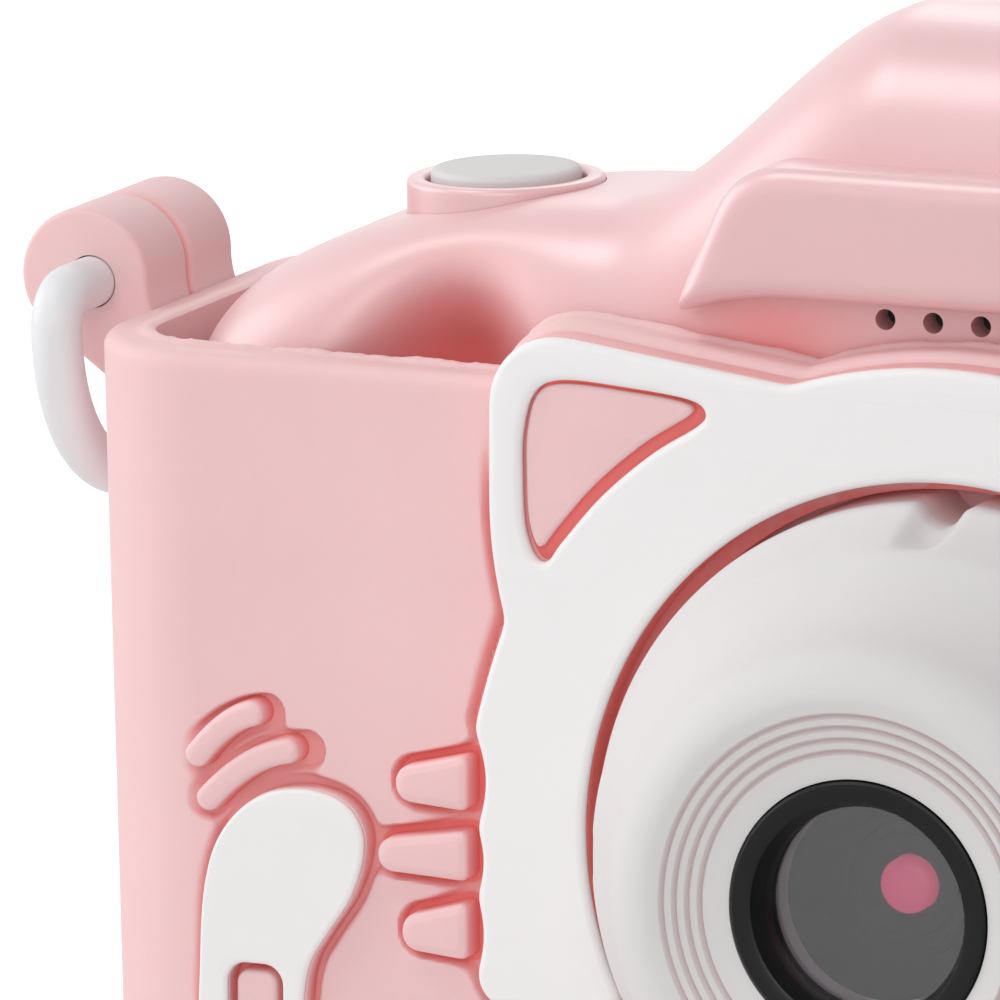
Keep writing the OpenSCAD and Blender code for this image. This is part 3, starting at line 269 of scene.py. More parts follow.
def even_outline(points, spacing=0.1, count=None):
    """A closed outline with points at even steps along it."""
    p = np.vstack([points, points[:1]])
    step = np.linalg.norm(np.diff(p, axis=0), axis=1)
    along = np.concatenate([[0], np.cumsum(step)])
    count = count or max(8, int(round(along[-1] / spacing)))
    at = np.linspace(0, along[-1], count, endpoint=False)
    return np.column_stack([np.interp(at, along, p[:, k]) for k in (0, 1)])


BATCH = 8000
TINY = 1e-12


def signed_distance(x, z, outline):
    """Distance of places from a closed outline, negative inside."""
    p = np.column_stack([np.ravel(x), np.ravel(z)])
    a = np.asarray(outline, float)
    e = np.roll(a, -1, axis=0) - a
    span = np.maximum((e**2).sum(1), TINY)
    rise = np.where(e[:, 1] == 0, TINY, e[:, 1])
    z0, z1 = a[:, 1], np.roll(a[:, 1], -1)
    out = np.empty(len(p))
    for k in range(0, len(p), BATCH):
        part = p[k : k + BATCH]
        w = part[:, None, :] - a[None]
        t = np.clip((w * e[None]).sum(2) / span, 0, 1)
        d = np.sqrt(((w - e[None] * t[..., None]) ** 2).sum(2).min(1))
        px, pz = part[:, :1], part[:, 1:]
        crosses = (z0 > pz) != (z1 > pz)
        at = a[:, 0] + (pz - z0) * e[:, 0] / rise
        inside = (crosses & (px < at)).sum(1) % 2 == 1
        out[k : k + BATCH] = np.where(inside, -d, d)
    return out.reshape(np.shape(x))


# The raised cat's outlines


TUFT_HEIGHTS = (11.7, 5.3, -0.4, -4.4, -8.9)
TUFT_DISTANCES = (26.5, 28.4, 28.2, 28.2, 28.2)
TUFT_SWELLS = (0.1, -0.6, -0.37, -0.37)
BAND_END_RADIUS = 2.0
BAND_END = TUFT_HEIGHTS[-1] - BAND_END_RADIUS
EAR_OPENING = (
    (-25.5, 20.0),
    (-25.45, 22.6),
    (-24.75, 24.95),
    (-23.0, 25.8),
    (-19.0, 25.65),
    (-15.4, 25.25),
    (-14.4, 24.6),
    (-14.9, 23.75),
    (-17.6, 22.0),
    (-20.6, 19.4),
    (-23.0, 16.6),
    (-23.95, 15.35),
    (-24.75, 15.6),
    (-25.35, 17.3),
)
EAR_FOOT_RISE = 7.0
EAR_FOOT_BEND = 3.6
PAD_INNER = 29.4
PAD_LENGTHS = (4.5, 5.6, 4.1)
PAD_HEIGHTS = (3.2, 2.9, 3.3)
PAD_MIDDLES = (1.7, -2.55, -6.95)
PAD_DROP = 0.3
PAD_END_SHARE = 0.68
PAD_END_ROUND = 0.9
PAD_CORNER = 0.35
STRIPE_HALF = 0.74
STRIPES = (
    ((-46.4, 1.9), (-44.6, 4.2), (-43.0, 4.55)),
    ((-45.7, -0.6), (-43.3, 2.1), (-40.8, 2.55)),
)
STRIPE_BED_HALF = 0.83
STRIPE_BEDS = (
    ((-46.8, 1.8), (-44.6, 4.3), (-42.3, 4.6)),
    ((-46.1, -0.8), (-43.2, 2.25), (-39.75, 2.65)),
)
TAIL = (
    (-39.7, 0.5),
    (-37.4, 0.05),
    (-36.1, -1.3),
    (-35.9, -3.1),
    (-36.7, -5.6),
    (-38.2, -7.9),
    (-39.3, -9.9),
    (-39.7, -13),
    (-39.7, -20),
    (-42.8, -24.4),
    (-46.0, -20),
    (-46.1, -9.5),
    (-45.6, -4.6),
    (-44.3, -1.8),
    (-42.2, -0.05),
)
INSET_MIDDLE = (-42.65, -15.5)
INSET_HALF = (1.25, 5.0)
INSET_CORNER = 0.75
INSET_GAP = 0.5
INSET_HOLE_CORNER = 1.2
BAND_SPACING = 0.2
EAR_SPACING = 0.15
WEAR_ROUNDS = 8
GROW_STEP = 0.1


def ear_side(cat, count=28):
    """The head's left half above its cheek, with an ear."""
    notch = math.degrees(math.acos(cat.ear_notch / cat.head))
    corner = (cat.ear_corner - cat.ear_x, cat.ear_z - cat.ear_corner)
    foot = np.array(
        [
            (-cat.ear_x, cat.cheek + EAR_FOOT_RISE),
            (-cat.ear_x, cat.cheek + EAR_FOOT_BEND),
            (-TUFT_DISTANCES[0], cat.cheek),
        ]
    )
    return np.vstack(
        [
            arc((0, 0), cat.head, 90, 180 - notch, count),
            [(-cat.ear_fall, cat.ear_z)],
            arc(corner, cat.ear_corner, 90, 180, count),
            [bend_point(foot, t) for t in np.linspace(0, 1, 9)[:-1]],
        ]
    )


def cheek(count=16):
    """The scalloped cheek, from the notch under the ear down."""
    points = []
    for i, swell in enumerate(TUFT_SWELLS):
        for t in np.linspace(0, 1, count, endpoint=False):
            x = mix(TUFT_DISTANCES[i], TUFT_DISTANCES[i + 1], t) + swell * math.sin(math.pi * t)
            points.append((-x, mix(TUFT_HEIGHTS[i], TUFT_HEIGHTS[i + 1], t)))
    return np.array(points)


def whole(half):
    """A whole outline from its left half, which starts and ends on the middle line."""
    return np.vstack([half, half[-2:0:-1] * (-1, 1)])


def band_side(cat):
    """The band's outer edge on the left, from the top of the head to its lower end."""
    r = BAND_END_RADIUS
    low_corner = arc((r - TUFT_DISTANCES[-1], BAND_END + r), r, 180, 270)
    return np.vstack([ear_side(cat), cheek(), low_corner])


def band_outline(cat):
    """The band's whole edge: its outer side, its round lower ends and its round hole."""
    r = BAND_END_RADIUS
    z = BAND_END + r / 2
    c = math.sqrt((cat.hole + r / 2) ** 2 - z * z)
    e = math.degrees(math.atan2(-z, c))
    end = arc((-c, z), r / 2, 270, 360 + e)
    hole = arc((0, 0), cat.hole, 180 + e, 90, 90)
    return whole(np.vstack([band_side(cat), end, hole]))


def soft_band(cat):
    """The band's outline with its points worn round."""
    return softened(even_outline(band_outline(cat), BAND_SPACING), WEAR_ROUNDS)


def band_outside(cat):
    """The band's outer edge, closed straight across under the lens."""
    return whole(np.vstack([band_side(cat), [(0, BAND_END)]]))


def softened(outline, rounds):
    """A closed outline with its corners worn round."""
    for _ in range(rounds):
        outline = (np.roll(outline, 1, axis=0) + 2 * outline + np.roll(outline, -1, axis=0)) / 4
    return outline


def grown(outline, distance):
    """A closed outline grown by a distance, or drawn in in small smoothed steps if it is negative."""
    if distance >= 0:
        return offset_outline(outline, distance)
    steps = max(1, math.ceil(-distance / GROW_STEP))
    for _ in range(steps):
        outline = offset_outline(outline, distance / steps)
        outline = softened(even_outline(outline, count=len(outline)), 2)
    return outline


def ear_opening(grow):
    """The opening in the ear."""
    return grown(even_outline(closed_curve(EAR_OPENING), EAR_SPACING), grow)


def ear_pad(cat):
    """The ear pad, which lies nearer to the ear's outer sides than to the head."""
    return ear_opening(-cat.ear_gap) + (-cat.ear_shift, cat.ear_shift)


def whisker(i, grow):
    """A whisker pad: its outer end is lower, narrower and rounder than its inner end."""
    inner, outer = PAD_HEIGHTS[i] / 2, PAD_HEIGHTS[i] / 2 * PAD_END_SHARE
    x, z, low = -PAD_INNER, PAD_MIDDLES[i], PAD_MIDDLES[i] - PAD_DROP
    end, r, q = x - PAD_LENGTHS[i], outer * PAD_END_ROUND, PAD_CORNER
    outline = np.vstack(
        [
            arc((end + r, low + outer - r), r, 90, 180),
            arc((end + r, low - outer + r), r, 180, 270),
            arc((x - q, z - inner + q), q, 270, 360, 6),
            arc((x - q, z + inner - q), q, 0, 90, 6),
        ]
    )
    return grown(softened(even_outline(outline), WEAR_ROUNDS), grow)


def tail_inset(grow, corner):
    """The long inset in the tail."""
    return round_rect(INSET_HALF[0] + grow, INSET_HALF[1] + grow, corner) + INSET_MIDDLE


def inset_hole():
    """The hole in the white tail round the inset."""
    return tail_inset(INSET_GAP, INSET_HOLE_CORNER)


# Mesh making


WELD_DISTANCE = 1e-7


def grid_faces(rows, columns, close_rows=False):
    """Faces of closed rows of points, which are numbered row by row."""
    i = np.arange(rows if close_rows else rows - 1)
    i, j = np.meshgrid(i, np.arange(columns), indexing="ij")
    a = i * columns + j
    b = i * columns + (j + 1) % columns
    c = ((i + 1) % rows) * columns + (j + 1) % columns
    d = ((i + 1) % rows) * columns + j
    return np.stack([a, b, c, d], axis=-1).reshape(-1, 4).tolist()


def rings_mesh(rings):
    """Points and faces of a surface through closed rings of equal count, with closed ends."""
    count = len(rings[0])
    last = (len(rings) - 1) * count
    faces = grid_faces(len(rings), count)
    faces.append(tuple(range(count)))
    faces.append(tuple(range(last + count - 1, last - 1, -1)))
    return np.vstack(rings), faces


def tube_mesh(rings):
    """Points and faces of a surface through closed rings, of which the last joins the first."""
    return np.vstack(rings), grid_faces(len(rings), len(rings[0]), close_rows=True)


def merged(parts):
    """Several meshes as one list of points and faces."""
    points, faces, start = [], [], 0
    for p, f in parts:
        points.append(np.asarray(p, float))
        faces += [tuple(int(v) + start for v in face) for face in f]
        start += len(p)
    return np.vstack(points), faces


def add_object(name, data):
    """A new object in the scene."""
    obj = bpy.data.objects.new(name, data)
    bpy.context.scene.collection.objects.link(obj)
    return obj


def new_object(name, points, faces):
    """A mesh object from points in millimetres, with its faces turned outwards."""
    mesh = bpy.data.meshes.new(name)
    mesh.from_pydata((np.asarray(points, float) * MM).tolist(), [], [tuple(f) for f in faces])
    mesh.validate()
    obj = add_object(name, mesh)
    turn_out(mesh)
    return obj


def turn_out(mesh):
    """Joins points that lie in one place and turns the faces outwards."""
    work = bmesh.new()
    work.from_mesh(mesh)
    bmesh.ops.remove_doubles(work, verts=work.verts, dist=WELD_DISTANCE)
    bmesh.ops.recalc_face_normals(work, faces=work.faces)
    work.to_mesh(mesh)
    work.free()


def smooth(obj, angle):
    """Shades a piece smooth, apart from its edges over an angle in degrees."""
    obj.data.shade_smooth()
    obj.data.set_sharp_from_angle(angle=math.radians(angle))
    return obj


def carve(obj, cutters):
    """Cuts shapes out of a mesh and removes the shapes."""
    for cutter in cutters:
        modifier = obj.modifiers.new("carve", "BOOLEAN")
        modifier.operation = "DIFFERENCE"
        modifier.solver = "MANIFOLD"
        modifier.object = cutter
    graph = bpy.context.evaluated_depsgraph_get()
    mesh = bpy.data.meshes.new_from_object(obj.evaluated_get(graph))
    obj.modifiers.clear()
    old = obj.data
    obj.data = mesh
    mesh.name = obj.name
    bpy.data.meshes.remove(old)
    for cutter in cutters:
        bpy.data.objects.remove(cutter)
    return obj


def dress(obj, node, look, body="camera"):
    """Lets a piece stand for a CAD node on its body, in its finish."""
    obj.data.materials.clear()
    obj.data.materials.append(finish(look))
    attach(obj, body)
    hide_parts(node)
    return obj


def flat_ring(outline, y, height):
    """An outline round the lens axis as points on a plane across the depth."""
    return np.column_stack([outline[:, 0], np.full(len(outline), y), outline[:, 1] + height])


def prism(name, outline, y0, y1, height):
    """A straight solid between two planes across the depth, from an outline round the lens axis."""
    return new_object(name, *rings_mesh([flat_ring(outline, y, height) for y in (y0, y1)]))


def rod(name, x, z, radius, y0, y1, count=40):
    """A round bar along the depth."""
    return prism(name, circle((x, z), radius, count), y0, y1, 0)


def block(name, low, high):
    """A box between two corners."""
    x, y, z = zip(low, high)
    corners = [(x[i], y[j], z[k]) for i in (0, 1) for j in (0, 1) for k in (0, 1)]
    faces = [(0, 1, 3, 2), (4, 6, 7, 5), (0, 4, 5, 1), (2, 3, 7, 6), (0, 2, 6, 4), (1, 5, 7, 3)]
    return new_object(name, corners, faces)


def raised(line, levels, height, plane):
    """A raised shape: rings of an outline at (grow, rise) levels over a plane across the depth."""
    return rings_mesh([flat_ring(line(grow), plane - rise, height) for grow, rise in levels])


def lathe(profile, count, place):
    """A turned shape from (radius, reach) points; place maps the turning axis into the frame."""
    angles = np.linspace(0, 2 * math.pi, count, endpoint=False)
    rings = []
    for radius, reach in profile:
        local = np.column_stack([radius * np.cos(angles), radius * np.sin(angles), np.full(count, reach)])
        rings.append(place(local))
    return rings


def lens_place(height):
    """Turns +Z of a turned shape into the way the lens looks."""
    return lambda p: np.column_stack([p[:, 0], -p[:, 2], p[:, 1] + height])


def tilted_place(centre, degrees):
    """Sets a turned shape on a place, leaning to the side."""
    turn = np.array(Matrix.Rotation(math.radians(degrees), 3, "Y"))
    return lambda p: p @ turn.T + np.asarray(centre, float)


# Finishes


def node_group(name, inputs, outputs):
    """A new node group with its sockets and its two ends."""
    group = bpy.data.node_groups.new(name, "ShaderNodeTree")
    for label, kind, default in inputs:
        socket = group.interface.new_socket(label, in_out="INPUT", socket_type=kind)
        if default is not None:
            socket.default_value = default
    for label, kind in outputs:
        group.interface.new_socket(label, in_out="OUTPUT", socket_type=kind)
    return group, group.nodes.new("NodeGroupInput"), group.nodes.new("NodeGroupOutput")


def add_node(tree, kind, inputs=None, **settings):
    """A shader node with its settings; an input is a constant or a socket to link from."""
    made = tree.nodes.new("ShaderNode" + kind)
    for label, value in settings.items():
        setattr(made, label, value)
    for label, value in (inputs or {}).items():
        if isinstance(value, bpy.types.NodeSocket):
            tree.links.new(value, made.inputs[label])
        else:
            made.inputs[label].default_value = value
    return made


FLECK_GREY = (0.35, 0.33, 0.33, 1)


def tone_group():
    """Slow changes of tone over a moulding: cloudy pigment, and paler flecks of dust."""
    group, enter, leave = node_group(
        "Moulded tone",
        [
            ("Colour", "NodeSocketColor", None),
            ("Drift", "NodeSocketFloat", 0.05),
            ("Drift size", "NodeSocketFloat", 60.0),
            ("Fleck", "NodeSocketFloat", 0.0),
        ],
        [("Colour", "NodeSocketColor")],
    )
    where = add_node(group, "TexCoord").outputs["Object"]
    cloud = add_node(group, "TexNoise", {"Vector": where, "Scale": enter.outputs["Drift size"], "Detail": 4})
    spread = add_node(
        group,
        "MapRange",
        {"Value": cloud.outputs["Fac"], "From Min": 0.3, "From Max": 0.7, "To Min": -1.0, "To Max": 1.0},
    )
    amount = add_node(
        group,
        "Math",
        {0: spread.outputs["Result"], 1: enter.outputs["Drift"], 2: 1.0},
        operation="MULTIPLY_ADD",
    )
    shade = add_node(
        group, "VectorMath", {0: enter.outputs["Colour"], "Scale": amount.outputs[0]}, operation="SCALE"
    )
    speck = add_node(group, "TexVoronoi", {"Vector": where, "Scale": 420})
    small = add_node(
        group, "MapRange", {"Value": speck.outputs["Distance"], "From Min": 0.09, "From Max": 0.05}
    )
    rare = add_node(group, "Math", {0: speck.outputs["Color"], 1: 0.965}, operation="GREATER_THAN")
    both = add_node(group, "Math", {0: small.outputs["Result"], 1: rare.outputs[0]}, operation="MULTIPLY")
    strength = add_node(group, "Math", {0: both.outputs[0], 1: enter.outputs["Fleck"]}, operation="MULTIPLY")
    flecked = add_node(
        group,
        "Mix",
        {"Factor": strength.outputs[0], "A": shade.outputs[0], "B": FLECK_GREY},
        data_type="RGBA",
    )
    group.links.new(flecked.outputs["Result"], leave.inputs["Colour"])
    return group


def grain_group():
    """Fine moulded grain: a height for a bump and a roughness that follows it."""
    group, enter, leave = node_group(
        "Moulded grain",
        [
            ("Scale", "NodeSocketFloat", 2500.0),
            ("Roughness", "NodeSocketFloat", 0.5),
            ("Spread", "NodeSocketFloat", 0.06),
        ],
        [("Height", "NodeSocketFloat"), ("Roughness", "NodeSocketFloat")],
    )
    where = add_node(group, "TexCoord").outputs["Object"]
    grain = add_node(group, "TexNoise", {"Vector": where, "Scale": enter.outputs["Scale"], "Detail": 3})
    wide = add_node(group, "TexNoise", {"Vector": where, "Scale": 140})
    total = add_node(group, "Math", {0: grain.outputs["Fac"], 1: wide.outputs["Fac"]}, operation="ADD")
    centred = add_node(group, "Math", {0: total.outputs[0], 1: 1.0}, operation="SUBTRACT")
    rough = add_node(
        group,
        "Math",
        {0: centred.outputs[0], 1: enter.outputs["Spread"], 2: enter.outputs["Roughness"]},
        operation="MULTIPLY_ADD",
    )
    group.links.new(grain.outputs["Fac"], leave.inputs["Height"])
    group.links.new(rough.outputs[0], leave.inputs["Roughness"])
    return group


def shared_group(name, make):
    """A node group, made at its first use."""
    return bpy.data.node_groups.get(name) or make()


# Each finish has a colour, or the name of a colour property, and the values of its tone and grain;
# deep names a colour of painted shade that the mesh's mask lays on, and glow makes painted light: that shade,
# or the whole colour where there is no deep, glows; the values with a capital letter are the shader's own
BLACK, STEEL = (0.02, 0.02, 0.02), (0.5, 0.51, 0.53)
LOOKS = {
    "pink_silicone": dict(
        base="silicone",
        # Painted shade and a painted glow in the sleeve's moats, gaps and pad sides
        deep="silicone_deep",
        glow=0.14,
        roughness=0.58,
        grain=1800,
        bump=0.02,
        drift=0.025,
        fleck=0.25,
        Subsurface_Weight=0.25,
        Subsurface_Radius=(1.2, 0.4, 0.36),
        Subsurface_Scale=0.0014,
        Specular_IOR_Level=0.5,
    ),
    "white_silicone": dict(
        base="white_silicone",
        roughness=0.6,
        grain=1800,
        bump=0.015,
        drift=0.012,
        fleck=0.5,
        Subsurface_Weight=0.1,
        Subsurface_Radius=(1.0, 0.9, 0.85),
        Subsurface_Scale=0.0008,
        Specular_IOR_Level=0.35,
    ),
    "satin_pink": dict(
        base="satin",
        # Painted shade and a painted glow in the body's valleys and under the brow's ends
        deep="satin_deep",
        glow=0.14,
        roughness=0.42,
        grain=3200,
        bump=0.012,
        drift=0.02,
        fleck=0.2,
        Specular_IOR_Level=0.8,
        Coat_Weight=1.0,
        Coat_Roughness=0.34,
        Coat_IOR=1.6,
    ),
    "white_plastic": dict(
        base="white_plastic",
        # Painted shade in the barrel's fine grooves
        deep="groove",
        roughness=0.62,
        grain=2600,
        bump=0.01,
        drift=0.012,
        fleck=0.5,
        Specular_IOR_Level=0.25,
    ),
    "loop_white": dict(
        base="loop", roughness=0.42, grain=1500, bump=0.015, drift=0.02, fleck=0.3, Specular_IOR_Level=0.5
    ),
    "black_gloss": dict(
        base="black", roughness=0.34, grain=2600, bump=0.008, drift=0.15, fleck=0.3, Specular_IOR_Level=0.3
    ),
    "window_glass": dict(
        base=(0.72, 0.72, 0.75),
        roughness=0.06,
        grain=900,
        bump=0.001,
        drift=0.01,
        IOR=1.5,
        Transmission_Weight=1.0,
        Coat_Weight=1.0,
        Coat_Roughness=0.08,
    ),
    # The small lens glows in its coating colour: a painted glow, though it is no lamp
    "coated_lens": dict(base="coating", glow=0.61, roughness=0.25, grain=900, bump=0.002, drift=0.03),
    "holder_black": dict(base=(0.012, 0.012, 0.012), roughness=0.6, grain=1500, bump=0.02, drift=0.1),
    "switch_black": dict(base=BLACK, roughness=0.5, grain=1500, bump=0.02, drift=0.1),
    "speaker_black": dict(base=(0.02, 0.02, 0.022), roughness=0.7, grain=700, bump=0.05, drift=0.1),
    "board_green": dict(base=(0.02, 0.13, 0.05), roughness=0.4, grain=600, bump=0.02, drift=0.2),
    "amber_film": dict(base=(0.55, 0.22, 0.03), roughness=0.35, grain=900, bump=0.01, drift=0.1),
    "red_sheath": dict(base=(0.42, 0.02, 0.02), roughness=0.45, grain=900, bump=0.01, drift=0.1),
    "cell_foil": dict(base=STEEL, roughness=0.4, grain=500, bump=0.05, drift=0.06, Metallic=0.8),
    "plain_steel": dict(base=STEEL, roughness=0.35, grain=1200, bump=0.01, drift=0.06, Metallic=1.0),
}


def finish(name):
    """A finish of the table, made at its first use."""
    return bpy.data.materials.get("look_" + name) or moulded("look_" + name, **LOOKS[name])


def moulded(name, base, roughness, grain, bump, drift, fleck=0.0, deep=None, glow=0.0, **constants):
    """A moulded material: cloudy tone, fine grain and the shader's own constants, with painted shade from the
    mesh's mask and a painted glow where a finish asks for them.
    """
    colours = bpy.context.scene.toycam_finish
    if isinstance(base, str):
        base = getattr(colours, base)
    material = bpy.data.materials.new(name)
    material.use_nodes = True
    tree = material.node_tree
    link = tree.links.new
    shader = tree.nodes["Principled BSDF"]
    shader.inputs["Emission Strength"].default_value = glow
    tone = add_node(
        tree,
        "Group",
        {"Colour": (*base, 1), "Drift": drift, "Fleck": fleck},
        node_tree=shared_group("Moulded tone", tone_group),
    )
    # Painted shade: the deep colour is mixed in by the mesh's painted-shade mask, and the same colour, scaled
    # by the mask, glows as painted light
    if deep:
        deep = getattr(colours, deep)
        mask = add_node(tree, "Attribute", attribute_name="painted_shade").outputs["Fac"]
        tint = add_node(tree, "Mix", {"Factor": mask, "A": (*base, 1), "B": (*deep, 1)}, data_type="RGBA")
        through = add_node(tree, "VectorMath", {0: deep, "Scale": mask}, operation="SCALE")
        link(tint.outputs["Result"], tone.inputs["Colour"])
        link(through.outputs[0], shader.inputs["Emission Color"])
    # Painted glow: the whole base colour glows, though the piece is no lamp
    elif glow:
        shader.inputs["Emission Color"].default_value = (*base, 1)
    texture = add_node(
        tree,
        "Group",
        {"Scale": grain, "Roughness": roughness},
        node_tree=shared_group("Moulded grain", grain_group),
    )
    relief = add_node(
        tree, "Bump", {"Strength": 1.0, "Distance": bump * MM, "Height": texture.outputs["Height"]}
    )
    link(tone.outputs["Colour"], shader.inputs["Base Color"])
    link(texture.outputs["Roughness"], shader.inputs["Roughness"])
    link(relief.outputs["Normal"], shader.inputs["Normal"])
    for label, value in constants.items():
        shader.inputs[label.replace("_", " ")].default_value = value
    return material


# The sleeve


FRONT_RUNS = ((-47.0, -26.4, 170), (-26.4, 26.4, 96), (26.4, 36.0, 64), (36.0, 47.0, 12))
CORNER_STEPS = np.linspace(0, 90, 15)[1:-1]
FINE_CORNER_STEPS = np.concatenate([np.linspace(0, 66, 10)[1:], np.linspace(66, 90, 22)[1:-1]])
SIDE_SHARES = np.linspace(-1, 1, 13)
BACK_SHARES = np.linspace(1, -1, 41)
LEAST_CORNER = 0.2
LOW_LEVELS = np.linspace(5, 7.6, 4)
TAIL_LEVELS = np.arange(8, 16, 0.2)
RELIEF_LEVELS = np.arange(16, 40, 0.105)
TOP_START, TOP_LEVELS = 40.3, 36
LIFT_START = 44.0
FRONT_DEPTH = 1.5
RAGGED_WAVES = (0.9, 1.7, 3.1, 5.3, 8.9)
RAGGED_SHIFT, RAGGED_SPREAD = 1.61, 0.42
LIP = ((1.75, 0.0), (1.95, 0.08), (2.1, 0.55), (2.25, 0.95), (2.55, 1.0), (2.8, 0.75))
LIP_END = 0.1
INNER_TOP, INNER_LOW, INNER_LEVELS = 0.8, 2.6, 9
RECESS_BLEND = 0.42
RECESS_LIMITS, RECESS_LEAST = (-30, 60), 1e-30
RECESS_MARGIN = 3.0
RECESS_TOP, RECESS_TOP_FADE = 22.0, 5.0
RECESS_SIDE, RECESS_SIDE_FADE = -47.6, 1.6
# Besides their slopes, the joined moats, the band, the pads, the stripes and the tail each have a strength of
# painted shade in their moats
JOINED_SLOPE, JOINED_SHADE = 0.3, 0.5
BAND_REACH, BAND_LOW, BAND_FAR = 34.0, -16.0, 50.0
BAND_SLOPE, BAND_SHARE, BAND_SHADE = 0.5, 0.85, 0.8
PAD_SLOPE, PAD_SHADE = 0.3, 1.0
STRIPE_SLOPE, STRIPE_SHADE = 0.28, 0.55
TAIL_SLOPE, TAIL_SHADE = 0.7, 0.5


def rim_height(sleeve, cat, x):
    """Height of the sleeve's front edge: the rim, and the backing of the head and ears over it."""
    a = np.abs(x)
    g = cat.backing
    head = np.sqrt(np.maximum((cat.head + g) ** 2 - a**2, 0))
    notch_z = math.sqrt((cat.head + g) ** 2 - cat.ear_notch**2)
    along = np.clip((a - cat.ear_notch) / (cat.ear_fall - cat.ear_notch), 0, 1)
    falling = mix(notch_z, cat.ear_z + g, along)
    out = a - (cat.ear_x - cat.ear_corner)
    r = cat.ear_corner + g
    corner = cat.ear_z - cat.ear_corner + np.sqrt(np.maximum(r**2 - np.maximum(out, 0) ** 2, 0))
    ear = np.where(a < cat.ear_notch, head, np.minimum(falling, corner))
    ear = np.where(out > r, -cat.lens_height, ear)
    return np.maximum(sleeve.height, ear + cat.lens_height)


def rough_edge(along):
    """An uneven line, from a sum of waves, between 0 and 1."""
    total = np.zeros_like(along)
    for k, wave in enumerate(RAGGED_WAVES):
        total += np.sin(along * wave + RAGGED_SHIFT * (k + 1)) / (k + 1.5)
    return np.clip(0.5 + RAGGED_SPREAD * total, 0, 1)


def stations():
    """Shares of the half width at which the sleeve's front has points, finer where the relief is."""
    end = FRONT_RUNS[-1][1]
    runs = [np.linspace(a, b, n, endpoint=False) for a, b, n in FRONT_RUNS]
    return np.concatenate([*runs, [end]]) / end


def sleeve_line(sleeve, inset, z, shares):
    """Points of the sleeve's outline at an inset and a height, anticlockwise from the front's left end."""
    w = sleeve.half_width - sleeve.draft * (1 - z / sleeve.height) - inset
    half_d = (sleeve.back - sleeve.front) / 2 - inset
    middle = (sleeve.front + sleeve.back) / 2
    r = max(sleeve.corner - inset, LEAST_CORNER)
    flat, deep = w - r, half_d - r

    def bend(cx, cy, start, steps=CORNER_STEPS):
        a = np.radians(start + steps)
        return np.column_stack([cx + r * np.cos(a), cy + r * np.sin(a)])

    return np.vstack(
        [
            np.column_stack([shares * flat, np.full(len(shares), middle - half_d)]),
            bend(flat, middle - deep, -90),
            np.column_stack([np.full(len(SIDE_SHARES), w), middle + SIDE_SHARES * deep]),
            bend(flat, middle + deep, 0),
            np.column_stack([BACK_SHARES * flat, np.full(len(BACK_SHARES), middle + half_d)]),
            bend(-flat, middle + deep, 90),
            np.column_stack([np.full(len(SIDE_SHARES), -w), middle - SIDE_SHARES * deep]),
            bend(-flat, middle - deep, 180, FINE_CORNER_STEPS),
        ]
    )


def step_down(away, slope):
    """1 inside a line and 0 outside it, with a soft slope across it."""
    return 1 - ease((away + slope / 2) / slope)


def nearness(away):
    """A weight that grows fast inside a line; the weights of neighbours are added up."""
    return np.exp(-np.clip(away / RECESS_BLEND, *RECESS_LIMITS))


def relief(sleeve, cat, x, z):
    """How far the sleeve's front is sunk, and a mask of painted shade in its recesses, which join between
    neighbours.
    """
    wide, thin = sleeve.moat_width, sleeve.stripe_moat
    pads = [whisker(i, 0) for i in range(3)]
    shapes = [(p * (side, 1), wide, PAD_SLOPE, PAD_SHADE) for side in (1, -1) for p in pads]
    shapes += [(ribbon(line, STRIPE_BED_HALF), thin, STRIPE_SLOPE, STRIPE_SHADE) for line in STRIPE_BEDS]
    shapes.append((closed_curve(TAIL), wide, TAIL_SLOPE, TAIL_SHADE))
    band = np.full(np.shape(x), BAND_FAR)
    near = (np.abs(x) < BAND_REACH) & (z > BAND_LOW)
    band[near] = signed_distance(x[near], z[near], band_outside(cat))
    groove = band - sleeve.band_moat
    under_top = ease((RECESS_TOP - z) / RECESS_TOP_FADE)
    total = nearness(groove)
    depth = BAND_SHARE * step_down(groove, BAND_SLOPE) * under_top
    tint = depth * BAND_SHADE
    for outline, width, slope, strength in shapes:
        low, high = outline.min(0) - RECESS_MARGIN, outline.max(0) + RECESS_MARGIN
        near = (x > low[0]) & (x < high[0]) & (z > low[1]) & (z < high[1])
        if near.any():
            away = signed_distance(x[near], z[near], outline) - width
            total[near] += nearness(away)
            sunk = step_down(away, slope)
            depth[near] = np.maximum(depth[near], sunk)
            tint[near] = np.maximum(tint[near], strength * sunk)
    together = -RECESS_BLEND * np.log(np.maximum(total, RECESS_LEAST))
    sunk = step_down(together, JOINED_SLOPE) * under_top
    fade = ease((x - RECESS_SIDE) / RECESS_SIDE_FADE)
    return sleeve.moat_depth * fade * np.maximum(depth, sunk), fade * np.maximum(tint, JOINED_SHADE * sunk)


